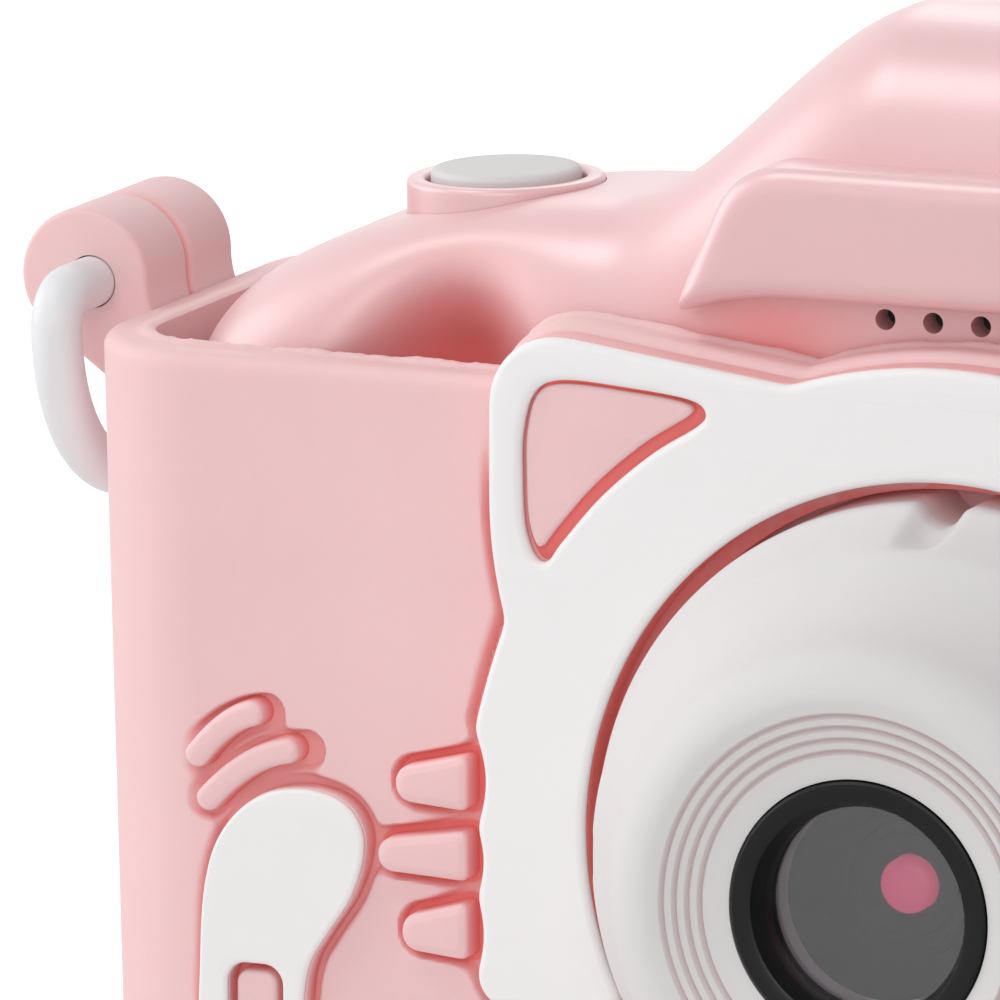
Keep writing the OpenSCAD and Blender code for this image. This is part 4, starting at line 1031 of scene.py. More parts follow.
def sleeve_shell(sleeve, cat):
    """The sleeve's closed wall with the relief's moats in its front, and a mask of painted shade in the
    moats.
    """
    shares = stations()
    base = sleeve_line(sleeve, 0, sleeve.height, shares)
    step = np.linalg.norm(np.diff(np.vstack([base, base[:1]]), axis=0), axis=1)
    along = np.concatenate([[0], np.cumsum(step)[:-1]])
    front = slice(len(shares))
    rise = np.zeros(len(base))
    rise[front] = rim_height(sleeve, cat, base[front, 0]) - sleeve.height
    top = sleeve.height - sleeve.edge
    rings, masks = [], []

    def lift(z):
        return float(ease((z - LIFT_START) / (top - LIFT_START)))

    def ring(inset, z, share):
        rings.append(np.column_stack([sleeve_line(sleeve, inset, z, shares), z + rise * share]))
        masks.append(np.zeros(len(base)))

    for c, s in turns(0, 90, 9):
        ring(sleeve.foot * (1 - s), sleeve.foot * (1 - c), 0)
    top_levels = np.linspace(TOP_START, top, TOP_LEVELS)
    for z in np.concatenate([LOW_LEVELS, TAIL_LEVELS, RELIEF_LEVELS, top_levels]):
        ring(0, z, lift(z))
        p = rings[-1]
        near = np.where(p[:, 1] < sleeve.front + FRONT_DEPTH)[0]
        sunk, mask = relief(sleeve, cat, p[near, 0], p[near, 2] - cat.lens_height)
        p[near, 1] += sunk
        masks[-1][near] = mask
    for c, s in turns(15, 90, 6):
        ring(sleeve.edge * (1 - c), top + sleeve.edge * s, 1)
    lip = sleeve.lip * (0.5 + 0.5 * rough_edge(along))
    for inset, share in (*LIP, (sleeve.wall, LIP_END)):
        ring(inset, sleeve.height, 1)
        rings[-1][:, 2] += lip * share
    for z in np.linspace(sleeve.height - INNER_TOP, sleeve.wall + INNER_LOW, INNER_LEVELS):
        ring(sleeve.wall, z, lift(z))
    inner_foot = sleeve.foot - sleeve.wall / 2
    for c, s in turns(90, 0, 6):
        ring(sleeve.wall + inner_foot * (1 - s), sleeve.wall + inner_foot * (1 - c), 0)
    return (*rings_mesh(rings), np.concatenate(masks))


LUG_MIDDLE, LUG_RADIUS = (58.9, 59.85), 4.0
LUG_FRONT, LUG_DEPTH = 1.5, 12.5
LUG_WALL, LUG_FOOT, LUG_ROOT = 53.6, 51.2, (56.0, 57.9)
LUG_EDGE = 0.38
LUG_EDGE_TURNS = np.linspace(0.15, math.pi / 2, 7)
LUG_SEAM = ((0, 0.75), (0.03, 0.55), (0.1, 0.4), (0.24, 0.26), (0.45, 0.14), (0.62, 0.05), (0.65, 0))
LUG_POINTS = 160
SEAM_PLACE, SEAM_WIDTH, SEAM_SHADE = LUG_FRONT + LUG_DEPTH / 2, 0.22, 0.9
BORE_X, BORE_Z, BORE_RADIUS = 58.4, 59.6, 1.56
BORE_ENDS = (0, 16)


def lug_shape(side):
    """A lug with round edges and a seam groove round its middle, on one side."""
    x, z = LUG_MIDDLE
    root = np.array([(LUG_WALL, LUG_ROOT[0]), (x - LUG_RADIUS, LUG_ROOT[1]), (x - LUG_RADIUS, z)])
    levels = [(LUG_EDGE * (math.sin(a) - 1), LUG_EDGE * (1 - math.cos(a))) for a in LUG_EDGE_TURNS]
    levels += [(-sunk, LUG_DEPTH / 2 - away) for sunk, away in LUG_SEAM]
    levels += [(grow, LUG_DEPTH - y) for grow, y in reversed(levels[:-1])]
    rings = []
    for grow, y in levels:
        inner = np.array([bend_point(root, t) for t in np.linspace(0, 1, 13)]) - (grow, 0)
        head = arc(LUG_MIDDLE, LUG_RADIUS + grow, 180, -45, 40)
        line = even_outline(np.vstack([head, [(LUG_WALL, LUG_FOOT - grow)], inner[:-1]]), count=LUG_POINTS)
        rings.append(flat_ring(line * (side, 1), LUG_FRONT + y, 0))
    return rings_mesh(rings)


PAD_FLARE, PAD_SHOULDER = 0.04, 0.4
PAD_TOP = ((0.03, 0.27), (0.09, 0.17), (0.19, 0.1), (0.32, 0.07), (0.38, 0.05), (0.46, 0.01), (0.58, 0.0))
ROUND_FLARE = 0.1


def pad_levels(rise, depth):
    """Rounded sides and a faintly stepped top of a small raised pad."""
    top = [(-inset, rise - under) for inset, under in PAD_TOP]
    return [(PAD_FLARE, -depth), (0.0, rise - PAD_SHOULDER), *top]


def round_levels(rise, depth, edge):
    """A raised shape with one round edge."""
    top = [(-edge * (1 - c), rise - edge + edge * s) for c, s in turns(15, 90, 7)]
    return [(ROUND_FLARE, -depth), (0.0, rise - edge), *top]


def mark_painted_shade(obj, share):
    """Stores how deeply sunk each point lies, as a mask of painted shade, from a function of its place in
    millimetres.
    """
    at = np.empty(len(obj.data.vertices) * 3, np.float32)
    obj.data.vertices.foreach_get("co", at)
    x, y, z = (at / MM).reshape(-1, 3).T
    found = obj.data.attributes.get("painted_shade") or obj.data.attributes.new("painted_shade", "FLOAT", "POINT")
    found.data.foreach_set("value", np.maximum(share(x, y, z), 0).astype(np.float32))
    return obj


def sunk_share(plane, top, low):
    """How deep a place lies between two heights over a plane across the depth."""
    return lambda x, y, z: ease((top - plane + y) / (top - low))


def scene_sizes(*names):
    """The sizes of property groups, in millimetres."""
    scene = bpy.context.scene
    return [millimetres(getattr(scene, "toycam_" + name)) for name in names]


LENS_ROOM, LENS_HOLE_SHADE, LENS_CUT = 0.3, 0.85, (-4, 5)
BACK_WINDOW, BACK_WINDOW_HEIGHT, BACK_CUT = (44, 21, 6), 30, (-5, 2)
PORT_SINK, PORT_LOW, PORT_HIGH = 0.3, (9.0, 7.5), (60, 20.8, 38.5)


def sleeve_wall(sleeve, cat, body, lens):
    """The sleeve's wall with its openings for the lens, the back and the ports."""
    height, front, back = cat.lens_height, sleeve.front, sleeve.back
    points, faces, mask = sleeve_shell(sleeve, cat)
    obj = new_object("sleeve", points, faces)
    if len(obj.data.vertices) != len(mask):
        raise RuntimeError("the sleeve's wall lost points")
    # The moats' mask of painted shade
    mark_painted_shade(obj, lambda x, y, z: mask)
    hole = circle((0, 0), lens.flange + LENS_ROOM, 360)
    window = round_rect(*BACK_WINDOW) + (0, BACK_WINDOW_HEIGHT - height)
    carve(
        obj,
        [
            prism("lens_cut", hole, *(front + y for y in LENS_CUT), height),
            prism("back_cut", window, *(back + y for y in BACK_CUT), height),
            block("port_cut", (body.half_width - PORT_SINK, *PORT_LOW), PORT_HIGH),
        ],
    )
    mark = np.empty(len(obj.data.vertices), np.float32)
    obj.data.attributes["painted_shade"].data.foreach_get("value", mark)

    # Painted shade and a painted glow in the gap round the lens hole
    def beside_lens(x, y, z):
        near = (np.hypot(x, z - height) < lens.flange + 2 * LENS_ROOM) & (y < 0)
        return np.maximum(mark, LENS_HOLE_SHADE * near)

    return smooth(mark_painted_shade(obj, beside_lens), 40)


TAIL_BASE_GROW, TAIL_BASE_LAP, TAIL_BASE_EDGE, TAIL_BASE_FOOT = 0.04, 0.02, 0.06, -1.5
BAND_BASE_INSET, BAND_BASE_SINK, BAND_BASE_SHADE, BAND_BASE_RIM = 0.05, 0.3, 0.3, 0.5
EAR_EDGE, EAR_MARK_UNDER = 0.3, 0.1
EAR_FLOOR_GROW, EAR_FLOOR_THICK = 0.05, 1.2
EAR_FLOOR_SHADE, EAR_FLOOR_START, EAR_FLOOR_RUN = 2, 0.9, 2


def sleeve_bases(sleeve, cat):
    """The pink bases of the white tail and band, the ear pads and the floors round them, with painted shade
    on their sunk sides, round the lens hole and on the ear floors.
    """
    height, plane = cat.lens_height, sleeve.front
    top, under = cat.tail - cat.tail_white + TAIL_BASE_LAP, cat.band - cat.band_white
    ear_top, ear_low = cat.band - cat.ear_sink, cat.band - cat.ear_floor
    lines = [offset_outline(closed_curve(TAIL), TAIL_BASE_GROW), inset_hole()]
    base = flat_piece("sleeve_tail_base", lines, plane - top, top + sleeve.moat_depth, TAIL_BASE_EDGE, height)
    # Painted shade on the tail base, darker towards its foot
    pieces = [mark_painted_shade(base, sunk_share(plane, top, TAIL_BASE_FOOT))]

    # Painted shade on the band's pink base: a little everywhere, full in the gap round the lens hole
    def in_hole(x, y, z):
        return mix(BAND_BASE_SHADE, 1.0, np.hypot(x, z - height) < cat.hole + BAND_BASE_RIM)

    # Painted shade on the ear floors, stronger outside the head, where it also glows more
    def outside_head(x, y, z):
        away = np.hypot(x, z - height) - cat.head - EAR_FLOOR_START
        return 1 + EAR_FLOOR_SHADE * ease(away / EAR_FLOOR_RUN)

    ear = offset_outline(ear_opening(0), -BAND_BASE_INSET)
    lines = [offset_outline(soft_band(cat), -BAND_BASE_INSET), ear, ear * (-1, 1)]
    thick = under + BAND_BASE_SINK
    base = flat_piece("sleeve_band_base", lines, plane - under, thick, BAND_BASE_INSET, height)
    pieces.append(mark_painted_shade(base, in_hole))
    for side, label in ((1, "left"), (-1, "right")):
        lines = [ear_pad(cat) * (side, 1)]
        pad = flat_piece("sleeve_ear_" + label, lines, plane - ear_top, cat.ear_floor, EAR_EDGE, height)
        # Painted shade on the ear pad's sides, darker towards its foot
        pieces.append(mark_painted_shade(pad, sunk_share(plane, ear_top - EAR_MARK_UNDER, ear_low)))
        lines = [ear_opening(EAR_FLOOR_GROW) * (side, 1)]
        name = "sleeve_ear_floor_" + label
        floor = flat_piece(name, lines, plane - ear_low, EAR_FLOOR_THICK, EAR_FLOOR_GROW, height)
        pieces.append(mark_painted_shade(floor, outside_head))
    return pieces


STRIPE_RISE, STRIPE_EDGE = 0.75, 0.45
INSET_SINK, INSET_EDGE = 0.3, 0.3
PAD_MARK_UNDER, PAD_MARK_FOOT = 0.15, -0.3
STRIPE_MARK_TOP, STRIPE_MARK_FOOT = 0.55, -0.4


def sleeve_relief(sleeve, cat):
    """The pink pads and stripes that stand in the moats, with painted shade on their sides."""
    height, plane = cat.lens_height, sleeve.front
    pads, lines = [], []
    levels = pad_levels(sleeve.pad_rise, sleeve.moat_depth)
    for side in (1, -1):
        for i in range(3):
            pads.append(raised(lambda grow: whisker(i, grow) * (side, 1), levels, height, plane))
    levels = round_levels(sleeve.pad_rise * STRIPE_RISE, sleeve.moat_depth, STRIPE_EDGE)
    for stripe in STRIPES:
        lines.append(raised(lambda grow: ribbon(stripe, STRIPE_HALF + grow), levels, height, plane))
    levels = round_levels(cat.tail - INSET_SINK, sleeve.moat_depth, INSET_EDGE)
    lines.append(raised(lambda grow: tail_inset(grow, INSET_CORNER + grow), levels, height, plane))
    pieces = []
    # Painted shade on the pads' and stripes' sides, darker towards their feet
    for name, parts, top, low in (
        ("sleeve_pads", pads, sleeve.pad_rise - PAD_MARK_UNDER, PAD_MARK_FOOT),
        ("sleeve_stripes", lines, STRIPE_MARK_TOP, STRIPE_MARK_FOOT),
    ):
        piece = smooth(new_object(name, *merged(parts)), 50)
        pieces.append(mark_painted_shade(piece, sunk_share(plane, top, low)))
    return pieces


def sleeve_lugs():
    """Both lugs with their bores, and painted shade along their seam groove."""
    lugs = new_object("sleeve_lugs", *merged([lug_shape(-1), lug_shape(1)]))
    smooth(carve(lugs, [rod("bore", side * BORE_X, BORE_Z, BORE_RADIUS, *BORE_ENDS) for side in (-1, 1)]), 40)
    # Painted shade along the seam groove round each lug's middle
    return mark_painted_shade(lugs, lambda x, y, z: SEAM_SHADE * np.exp(-(((y - SEAM_PLACE) / SEAM_WIDTH) ** 2)))


class TOYCAM_OT_sleeve(bpy.types.Operator):
    """Makes the pink silicone sleeve with its relief, ear pads and lugs"""

    bl_idname = "toycam.sleeve"
    bl_label = "Sleeve"

    def execute(self, context):
        sleeve, cat, body, lens = scene_sizes("sleeve", "cat", "body", "lens")
        wall = sleeve_wall(sleeve, cat, body, lens)
        pieces = sleeve_bases(sleeve, cat) + sleeve_relief(sleeve, cat)
        for piece in (wall, sleeve_lugs(), *pieces):
            dress(piece, "sleeve", "pink_silicone")
        return {"FINISHED"}


FLAT_EDGE_STEPS = 4
FLAT_SHARP_ANGLE = 50
FULL_WEIGHT = 100


def flat_piece(name, outlines, y_front, thickness, edge, height):
    """A flat plate with round edges from closed outlines, of which the later ones are holes."""
    curve = bpy.data.curves.new(name, "CURVE")
    curve.dimensions = "2D"
    curve.fill_mode = "BOTH"
    curve.extrude = (thickness / 2 - edge) * MM
    curve.bevel_depth = edge * MM
    curve.bevel_resolution = FLAT_EDGE_STEPS
    curve.offset = -edge * MM
    for outline in outlines:
        spline = curve.splines.new("POLY")
        spline.points.add(len(outline) - 1)
        count = len(outline)
        flat = np.column_stack([outline * MM, np.zeros(count), np.ones(count)])
        spline.points.foreach_set("co", flat.astype(np.float32).ravel())
        spline.use_cyclic_u = True
    holder = add_object(name + "_curve", curve)
    graph = bpy.context.evaluated_depsgraph_get()
    mesh = bpy.data.meshes.new_from_object(holder.evaluated_get(graph))
    bpy.data.objects.remove(holder)
    middle = Vector((0, (y_front + thickness / 2) * MM, height * MM))
    mesh.transform(Matrix.Translation(middle) @ Matrix.Rotation(math.pi / 2, 4, "X"))
    mesh.name = name
    obj = add_object(name, mesh)
    turn_out(mesh)
    smooth(obj, FLAT_SHARP_ANGLE)
    weights = obj.modifiers.new("even shading", "WEIGHTED_NORMAL")
    weights.weight = FULL_WEIGHT
    weights.keep_sharp = True
    return obj


TAIL_EDGE_SHARE = 0.49


class TOYCAM_OT_cat(bpy.types.Operator):
    """Makes the white cat-head band and the white tail"""

    bl_idname = "toycam.cat"
    bl_label = "Cat band and tail"

    def execute(self, context):
        sleeve, cat = scene_sizes("sleeve", "cat")
        front, height = sleeve.front, cat.lens_height
        ear = ear_opening(0)
        lines = [soft_band(cat), ear, ear * (-1, 1)]
        band = flat_piece("cat_band", lines, front - cat.band, cat.band_white, cat.band_edge, height)
        dress(band, "cat_band", "white_silicone")
        lines = [closed_curve(TAIL), inset_hole()]
        edge = cat.tail_white * TAIL_EDGE_SHARE
        tail = flat_piece("tail", lines, front - cat.tail, cat.tail_white, edge, height)
        dress(tail, "tail", "white_silicone")
        return {"FINISHED"}


# Strap loops


LOOP_RADIUS, LOOP_STEPS = 1.49, 28
LOOP_FRONT, LOOP_BACK = LUG_DEPTH / 2 + 4.8, LUG_DEPTH / 2 + 2.6
LOOP_BEND, LOOP_SAG = 1.8, 10.3
LOOP_TURNS = np.radians(np.arange(-6, -175, -6))


def loop_route():
    """Middle line of a strap loop round the lug, as (depth, height) from the bore."""
    start, end, r = LOOP_BEND - LOOP_FRONT, LOOP_BACK - LOOP_BEND, LOOP_BEND
    reach = np.where(np.cos(LOOP_TURNS) > 0, LOOP_BACK, LOOP_FRONT)
    return np.vstack(
        [
            np.column_stack([np.linspace(start, end, 12), np.zeros(12)])[:-1],
            arc((end, -r), r, 90, 0, 10),
            np.column_stack([reach * np.cos(LOOP_TURNS), -r + LOOP_SAG * np.sin(LOOP_TURNS)]),
            arc((start, -r), r, 180, 90, 10)[:-1],
        ]
    )


class TOYCAM_OT_loops(bpy.types.Operator):
    """Makes the two white strap loops"""

    bl_idname = "toycam.loops"
    bl_label = "Strap loops"

    def execute(self, context):
        route = loop_route()
        tangent = np.roll(route, -1, axis=0) - np.roll(route, 1, axis=0)
        tangent /= np.linalg.norm(tangent, axis=1)[:, None]
        across, out = LOOP_RADIUS * circle((0, 0), 1, LOOP_STEPS).T
        for side, name in ((-1, "strap_loop_left"), (1, "strap_loop_right")):
            rings = []
            for (y, z), (ty, tz) in zip(route, tangent):
                x = side * (BORE_X + across)
                rings.append(np.column_stack([x, SEAM_PLACE + y - tz * out, BORE_Z + z + ty * out]))
            obj = smooth(new_object(name, *tube_mesh(rings)), 60)
            dress(obj, name, "loop_white", name)
        return {"FINISHED"}


# The hard body


SIDE_POINTS, UNDER_POINTS = 26, 30


def hump_share(body, x):
    """How far up the hump's side a place lies, from 0 to 1."""
    return ease((body.hump_half - np.abs(x)) / body.hump_run)


def top_edge(body, x):
    """Height of the body's top: the round shoulders and the hump over them."""
    r = np.maximum(0, np.abs(x) - body.shoulder_in) / (body.half_width - body.shoulder_in)
    shoulder = body.shoulder_rise * np.sqrt(np.maximum(0, 1 - r * r))
    return body.shoulder + shoulder + body.hump_rise * hump_share(body, x)


def body_line(body, count=260):
    """Outline of the body seen from the front."""
    x = -body.half_width * np.cos(np.pi * np.arange(count + 1) / count)
    w, r, low = body.half_width, body.corner, body.base + body.corner
    side = np.linspace(body.shoulder, low, SIDE_POINTS)[1:-1]
    under = np.linspace(w - r, r - w, UNDER_POINTS)[1:-1]
    return np.vstack(
        [
            np.column_stack([x, top_edge(body, x)]),
            np.column_stack([np.full(len(side), w), side]),
            arc((w - r, low), r, 0, -90, 10),
            np.column_stack([under, np.full(len(under), body.base)]),
            arc((r - w, low), r, -90, -180, 10),
            np.column_stack([np.full(len(side), -w), side[::-1]]),
        ]
    )


def valley(body, x, z):
    """How far the body's front is sunk in the valleys beside the grips."""
    across = np.exp(-(((np.abs(x) - body.valley_x) / body.valley_w) ** 2))
    start = ease((z - body.valley_z) / body.valley_run)
    end = ease((top_edge(body, x) - z) / body.valley_fall)
    return body.valley * across * start * end


INWARD_SHARE = 0.6
EDGE_ANGLES = np.linspace(90, 0, 19)
FACE_SHARES = np.linspace(0.05, 1, 40)[:-1]
ACROSS_SHARES = np.linspace(0, 1, 8)[1:-1]


def body_surface(body, lens_z, t):
    """The body's closed outer form, or its inside when t is the wall."""
    p = body_line(body)
    toward = np.column_stack([INWARD_SHARE * p[:, 0], np.full(len(p), lens_z)]) - p
    toward /= np.linalg.norm(toward, axis=1)[:, None]
    growth = ease((p[:, 1] - body.shoulder + body.edge_low) / body.edge_run)
    share = np.where(p[:, 1] > body.shoulder, hump_share(body, p[:, 0]), 0)

    def ring(front, angle):
        low = mix(body.edge_side, body.edge_shoulder if front else body.edge_shoulder_back, growth)
        r = mix(low, body.edge_hump if front else body.edge_hump_back, share)
        c, s = math.cos(math.radians(angle)), math.sin(math.radians(angle))
        q = p + toward * (t + (r - t) * (1 - c))[:, None]
        if not front:
            return np.column_stack([q[:, 0], body.back - t - (r - t) * (1 - s), q[:, 1]])
        y = body.front + t + (r - t) * (1 - s)
        y = y + valley(body, q[:, 0], q[:, 1]) * (1 - ease((y - body.front - t) / body.edge_hump))
        return np.column_stack([q[:, 0], y, q[:, 1]])

    def drawn_in(q, front, s):
        x, z = q[:, 0] * s, mix(lens_z, q[:, 2], s)
        y = body.front + t + valley(body, x, z) if front else np.full(len(x), body.back - t)
        return np.column_stack([x, y, z])

    front = [ring(True, a) for a in EDGE_ANGLES]
    back = [ring(False, a) for a in EDGE_ANGLES]
    across = [mix(front[-1], back[-1], k) for k in ACROSS_SHARES]
    rings = [drawn_in(front[0], True, s) for s in FACE_SHARES] + front + across + back[::-1]
    rings += [drawn_in(back[0], False, s) for s in FACE_SHARES[::-3]]
    return rings_mesh(rings)


# Each rear key's place from the lens axis and its radius
KEY_PLACES = {
    "key_up": (-29.5, 5.4, 2.5),
    "key_down": (-29.5, -11.4, 2.5),
    "key_left": (-21.1, -3.0, 2.5),
    "key_right": (-37.9, -3.0, 2.5),
    "key_ok": (-29.5, -3.0, 3.6),
    "key_power": (-36.0, 13.5, 2.0),
    "key_menu": (-23.0, 13.5, 2.0),
}
# Boxes round the ports, each from two corners
FLAP_RECESS = (48.0, 11.7, 8.7), (54.0, 19.6, 37.3)
PORT_FRAME = (46.0, 11.5, 7.3), (48.3, 20.3, 38.7)
FRAME_RECESS = (47.96, 11.65, 8.65), (54.0, 19.65, 37.35)
PORT_MOUTHS = ((43.0, 13.6, 26.9), (49.0, 17.0, 35.1)), ((43.0, 14.6, 12.7), (49.0, 17.0, 25.3))
# Openings in the shells; a cut's ends are given from the face that it goes through
FRONT_CUT = (-2, 4)
LENS_BORE = 10.3
SPEAKER_STEP, SPEAKER_RISE, SPEAKER_RADIUS = 2.85, 29.6, 0.6
SHUTTER = (-33.4, 4.5, 66.183)
SHUTTER_TILT = -1.5
COLLAR_CUT, COLLAR_CUT_STEPS = ((5.3, -5), (5.3, -2.6), (5.8, -2.6), (5.8, 3)), 64
SCREEN_MIDDLE = (10, -1)
SCREEN_POCKET, SCREEN_OPENING = (23.35, 18.05, 2.6), (20.7, 15.4, 2.6)
POCKET_CUT, OPENING_CUT = (-1.2, 2), (-4, 2.5)
KEY_ROOM, KEY_CUT = 0.3, (-4, 2)
FAR, UNDER = 90.0, -5
# Painted shade under the brow's ends and in the valleys beside the grips
BROW_SHADE, BROW_SHADE_X, BROW_SHADE_WIDTH = 0.6, 12.5, 4.5
BROW_SHADE_TOP, BROW_SHADE_LOW, BROW_SHADE_FADE = 31, 20, 1.5
VALLEY_SHADE_DEPTH, BROW_SHADE_DEPTH = 2, 1


class TOYCAM_OT_body(bpy.types.Operator):
    """Makes the two shells of the hard body"""

    bl_idname = "toycam.body"
    bl_label = "Hard body"

    def execute(self, context):
        body, cat = scene_sizes("body", "cat")
        z0 = cat.lens_height
        front = new_object("front_shell", *body_surface(body, z0, 0))
        front_cut = [body.front + y for y in FRONT_CUT]
        cuts = [
            new_object("front_inside", *body_surface(body, z0, body.wall)),
            block("front_end", (-FAR, body.joint, UNDER), (FAR, FAR, FAR)),
            rod("lens_hole", 0, z0, LENS_BORE, *front_cut, 90),
        ]
        for k in range(-2, 3):
            x, z = SPEAKER_STEP * k, z0 + SPEAKER_RISE
            cuts.append(rod("speaker_hole", x, z, SPEAKER_RADIUS, *front_cut, 28))
        collar = lathe(COLLAR_CUT, COLLAR_CUT_STEPS, tilted_place(SHUTTER, SHUTTER_TILT))
        cuts.append(new_object("shutter_hole", *rings_mesh(collar)))
        smooth(carve(front, cuts), 40)

        # Painted shade and a painted glow in the valleys beside the grips and under the brow's ends
        def hollow_shade(x, y, z):
            beside = valley(body, x, z) / body.valley * (y < VALLEY_SHADE_DEPTH)
            under = np.exp(-(((np.abs(x) - BROW_SHADE_X) / BROW_SHADE_WIDTH) ** 2))
            under *= ease((z0 + BROW_SHADE_TOP - z) / BROW_SHADE_FADE)
            under *= (y < body.front + BROW_SHADE_DEPTH) & (z > z0 + BROW_SHADE_LOW)
            return np.maximum(beside, BROW_SHADE * under)

        mark_painted_shade(front, hollow_shade)
        dress(front, "front_shell", "satin_pink")
        rear = new_object("rear_shell", *body_surface(body, z0, 0))
        pocket = round_rect(*SCREEN_POCKET) + SCREEN_MIDDLE
        opening = round_rect(*SCREEN_OPENING) + SCREEN_MIDDLE
        cuts = [
            new_object("rear_inside", *body_surface(body, z0, body.wall)),
            block("rear_end", (-FAR, -FAR, UNDER), (FAR, body.joint + body.joint_gap, FAR)),
            prism("screen_pocket", pocket, *(body.back + y for y in POCKET_CUT), z0),
            prism("screen_opening", opening, *(body.back + y for y in OPENING_CUT), z0),
        ]
        for x, z, r in KEY_PLACES.values():
            cuts.append(rod("key_hole", x, z0 + z, r + KEY_ROOM, *(body.back + y for y in KEY_CUT)))
        cuts.append(block("flap_recess", *FLAP_RECESS))
        smooth(carve(rear, cuts), 40)
        dress(rear, "rear_shell", "satin_pink")
        ports = block("rear_shell_ports", *PORT_FRAME)
        carve(ports, [block("flap_room", *FRAME_RECESS)] + [block("mouth", *place) for place in PORT_MOUTHS])
        dress(smooth(ports, 40), "rear_shell", "satin_pink")
        return {"FINISHED"}


BROW_HALF, BROW_TOP_HALF = 17.7, 11.0
BROW_TIP, BROW_LOW, BROW_TOP = 29.4, 30.8, 38.3
BROW_CORNER = 4.6
BROW_FOOT = ((0, BROW_TIP), (-3, BROW_LOW - 0.4), (-6, BROW_LOW))
BROW_SPACING, BROW_WEAR = 0.2, 30
BROW_LEVELS = (
    (0.0, -1.0),
    (0.0, 2.0),
    (-0.06, 2.3),
    (-0.2, 2.6),
    (-0.42, 2.85),
    (-0.7, 3.03),
    (-1.0, 3.14),
    (-1.35, 3.19),
    (-1.7, 3.2),
)


def soft_brow(grow):
    """The brow panel's outline with its corners worn round."""
    slope = math.degrees(math.atan2(BROW_HALF - BROW_TOP_HALF, BROW_TOP - BROW_TIP))
    corner = arc((BROW_TOP_HALF, BROW_TOP - BROW_CORNER), BROW_CORNER, 90, slope, 16)
    right = np.vstack([corner, [(BROW_HALF + x, z) for x, z in BROW_FOOT]])
    outline = np.vstack([right, right[::-1] * (-1, 1)])
    return grown(softened(even_outline(outline, BROW_SPACING), BROW_WEAR), grow)


class TOYCAM_OT_brow(bpy.types.Operator):
    """Makes the brow panel on the hump"""

    bl_idname = "toycam.brow"
    bl_label = "Brow panel"

    def execute(self, context):
        body, cat = scene_sizes("body", "cat")
        panel = raised(soft_brow, BROW_LEVELS, cat.lens_height, body.front)
        obj = smooth(new_object("brow_panel", *panel), 50)
        dress(obj, "brow_panel", "satin_pink")
        return {"FINISHED"}


COLLAR_IN, COLLAR_OUT, COLLAR_TOP, COLLAR_EDGE = 4.65, 5.75, 1.0, 0.36
COLLAR_FOOT = ((COLLAR_IN, -3.6), (5.2, -3.6), (5.2, -2.6), (COLLAR_OUT, -2.6), (COLLAR_OUT, 0.2))
BUTTON_RADIUS, BUTTON_TOP, BUTTON_EDGE = 4.35, 1.5, 0.4
BUTTON_FOOT = (
    (1.5, -5.6),
    (1.5, -4.9),
    (5.0, -4.9),
    (5.0, -4.1),
    (BUTTON_RADIUS, -4.1),
    (BUTTON_RADIUS, 0.6),
)
BUTTON_DOME = ((3.5, 0.06), (3.3, 0.04), (2.2, 0.12), (1.0, 0.17), (0.2, 0.18))
SHUTTER_STEPS = 128


class TOYCAM_OT_shutter(bpy.types.Operator):
    """Makes the shutter button and its collar"""

    bl_idname = "toycam.shutter"
    bl_label = "Shutter button"

    def execute(self, context):
        place = tilted_place(SHUTTER, SHUTTER_TILT)
        e, z = COLLAR_EDGE, COLLAR_TOP - COLLAR_EDGE
        outer, inner = arc((COLLAR_OUT - e, z), e, 0, 90, 6), arc((COLLAR_IN + e, z), e, 90, 180, 6)
        rings = lathe([*COLLAR_FOOT, *outer, *inner], SHUTTER_STEPS, place)
        collar = new_object("shutter_collar", *tube_mesh(rings))
        dress(smooth(collar, 40), "shutter_collar", "satin_pink")
        e = BUTTON_EDGE
        edge = arc((BUTTON_RADIUS - e, BUTTON_TOP - e), e, 0, 80, 7)
        dome = [(r, BUTTON_TOP + rise) for r, rise in BUTTON_DOME]
        rings = lathe([*BUTTON_FOOT, *edge, *dome], SHUTTER_STEPS, place)
        button = new_object("shutter_button", *rings_mesh(rings))
        dress(smooth(button, 40), "shutter_button", "white_plastic", "shutter_button")
        return {"FINISHED"}


# The lens


# The barrel's points are (radius, place along the depth); those of the pieces in it are (radius, reach)
BARREL = (
    (20.6, -6.8),
    (20.6, -12.6),
    (20.55, -13.0),
    (20.42, -13.3),
    (20.2, -13.6),
    (19.9, -14.4),
    (19.5, -15.8),
    (19.15, -17.0),
    (18.98, -17.55),
    (18.82, -17.85),
    (18.55, -18.15),
    (18.2, -18.5),
    (17.75, -19.0),
    (17.2, -19.7),
    (16.6, -20.6),
    (16.1, -21.5),
    (15.7, -22.4),
    (15.42, -23.2),
    (15.25, -23.9),
    (15.1, -24.4),
    (14.85, -25.0),
    (14.5, -25.5),
    (14.0, -25.95),
    (13.4, -26.3),
    (12.8, -26.46),
    (12.45, -26.5),
    (12.15, -26.47),
)
DISH_RADIUS, DISH_RIM, DISH_FLOOR = 12.1, -26.42, -25.4
DISH_END = (8.4, -25.6)
GROOVES = 11.3, 10.6, 9.9, 9.2
GROOVE = ((0.3, -0.04), (0.19, 0), (0.09, 0.2), (0, 0.28), (-0.09, 0.2), (-0.19, 0.02))
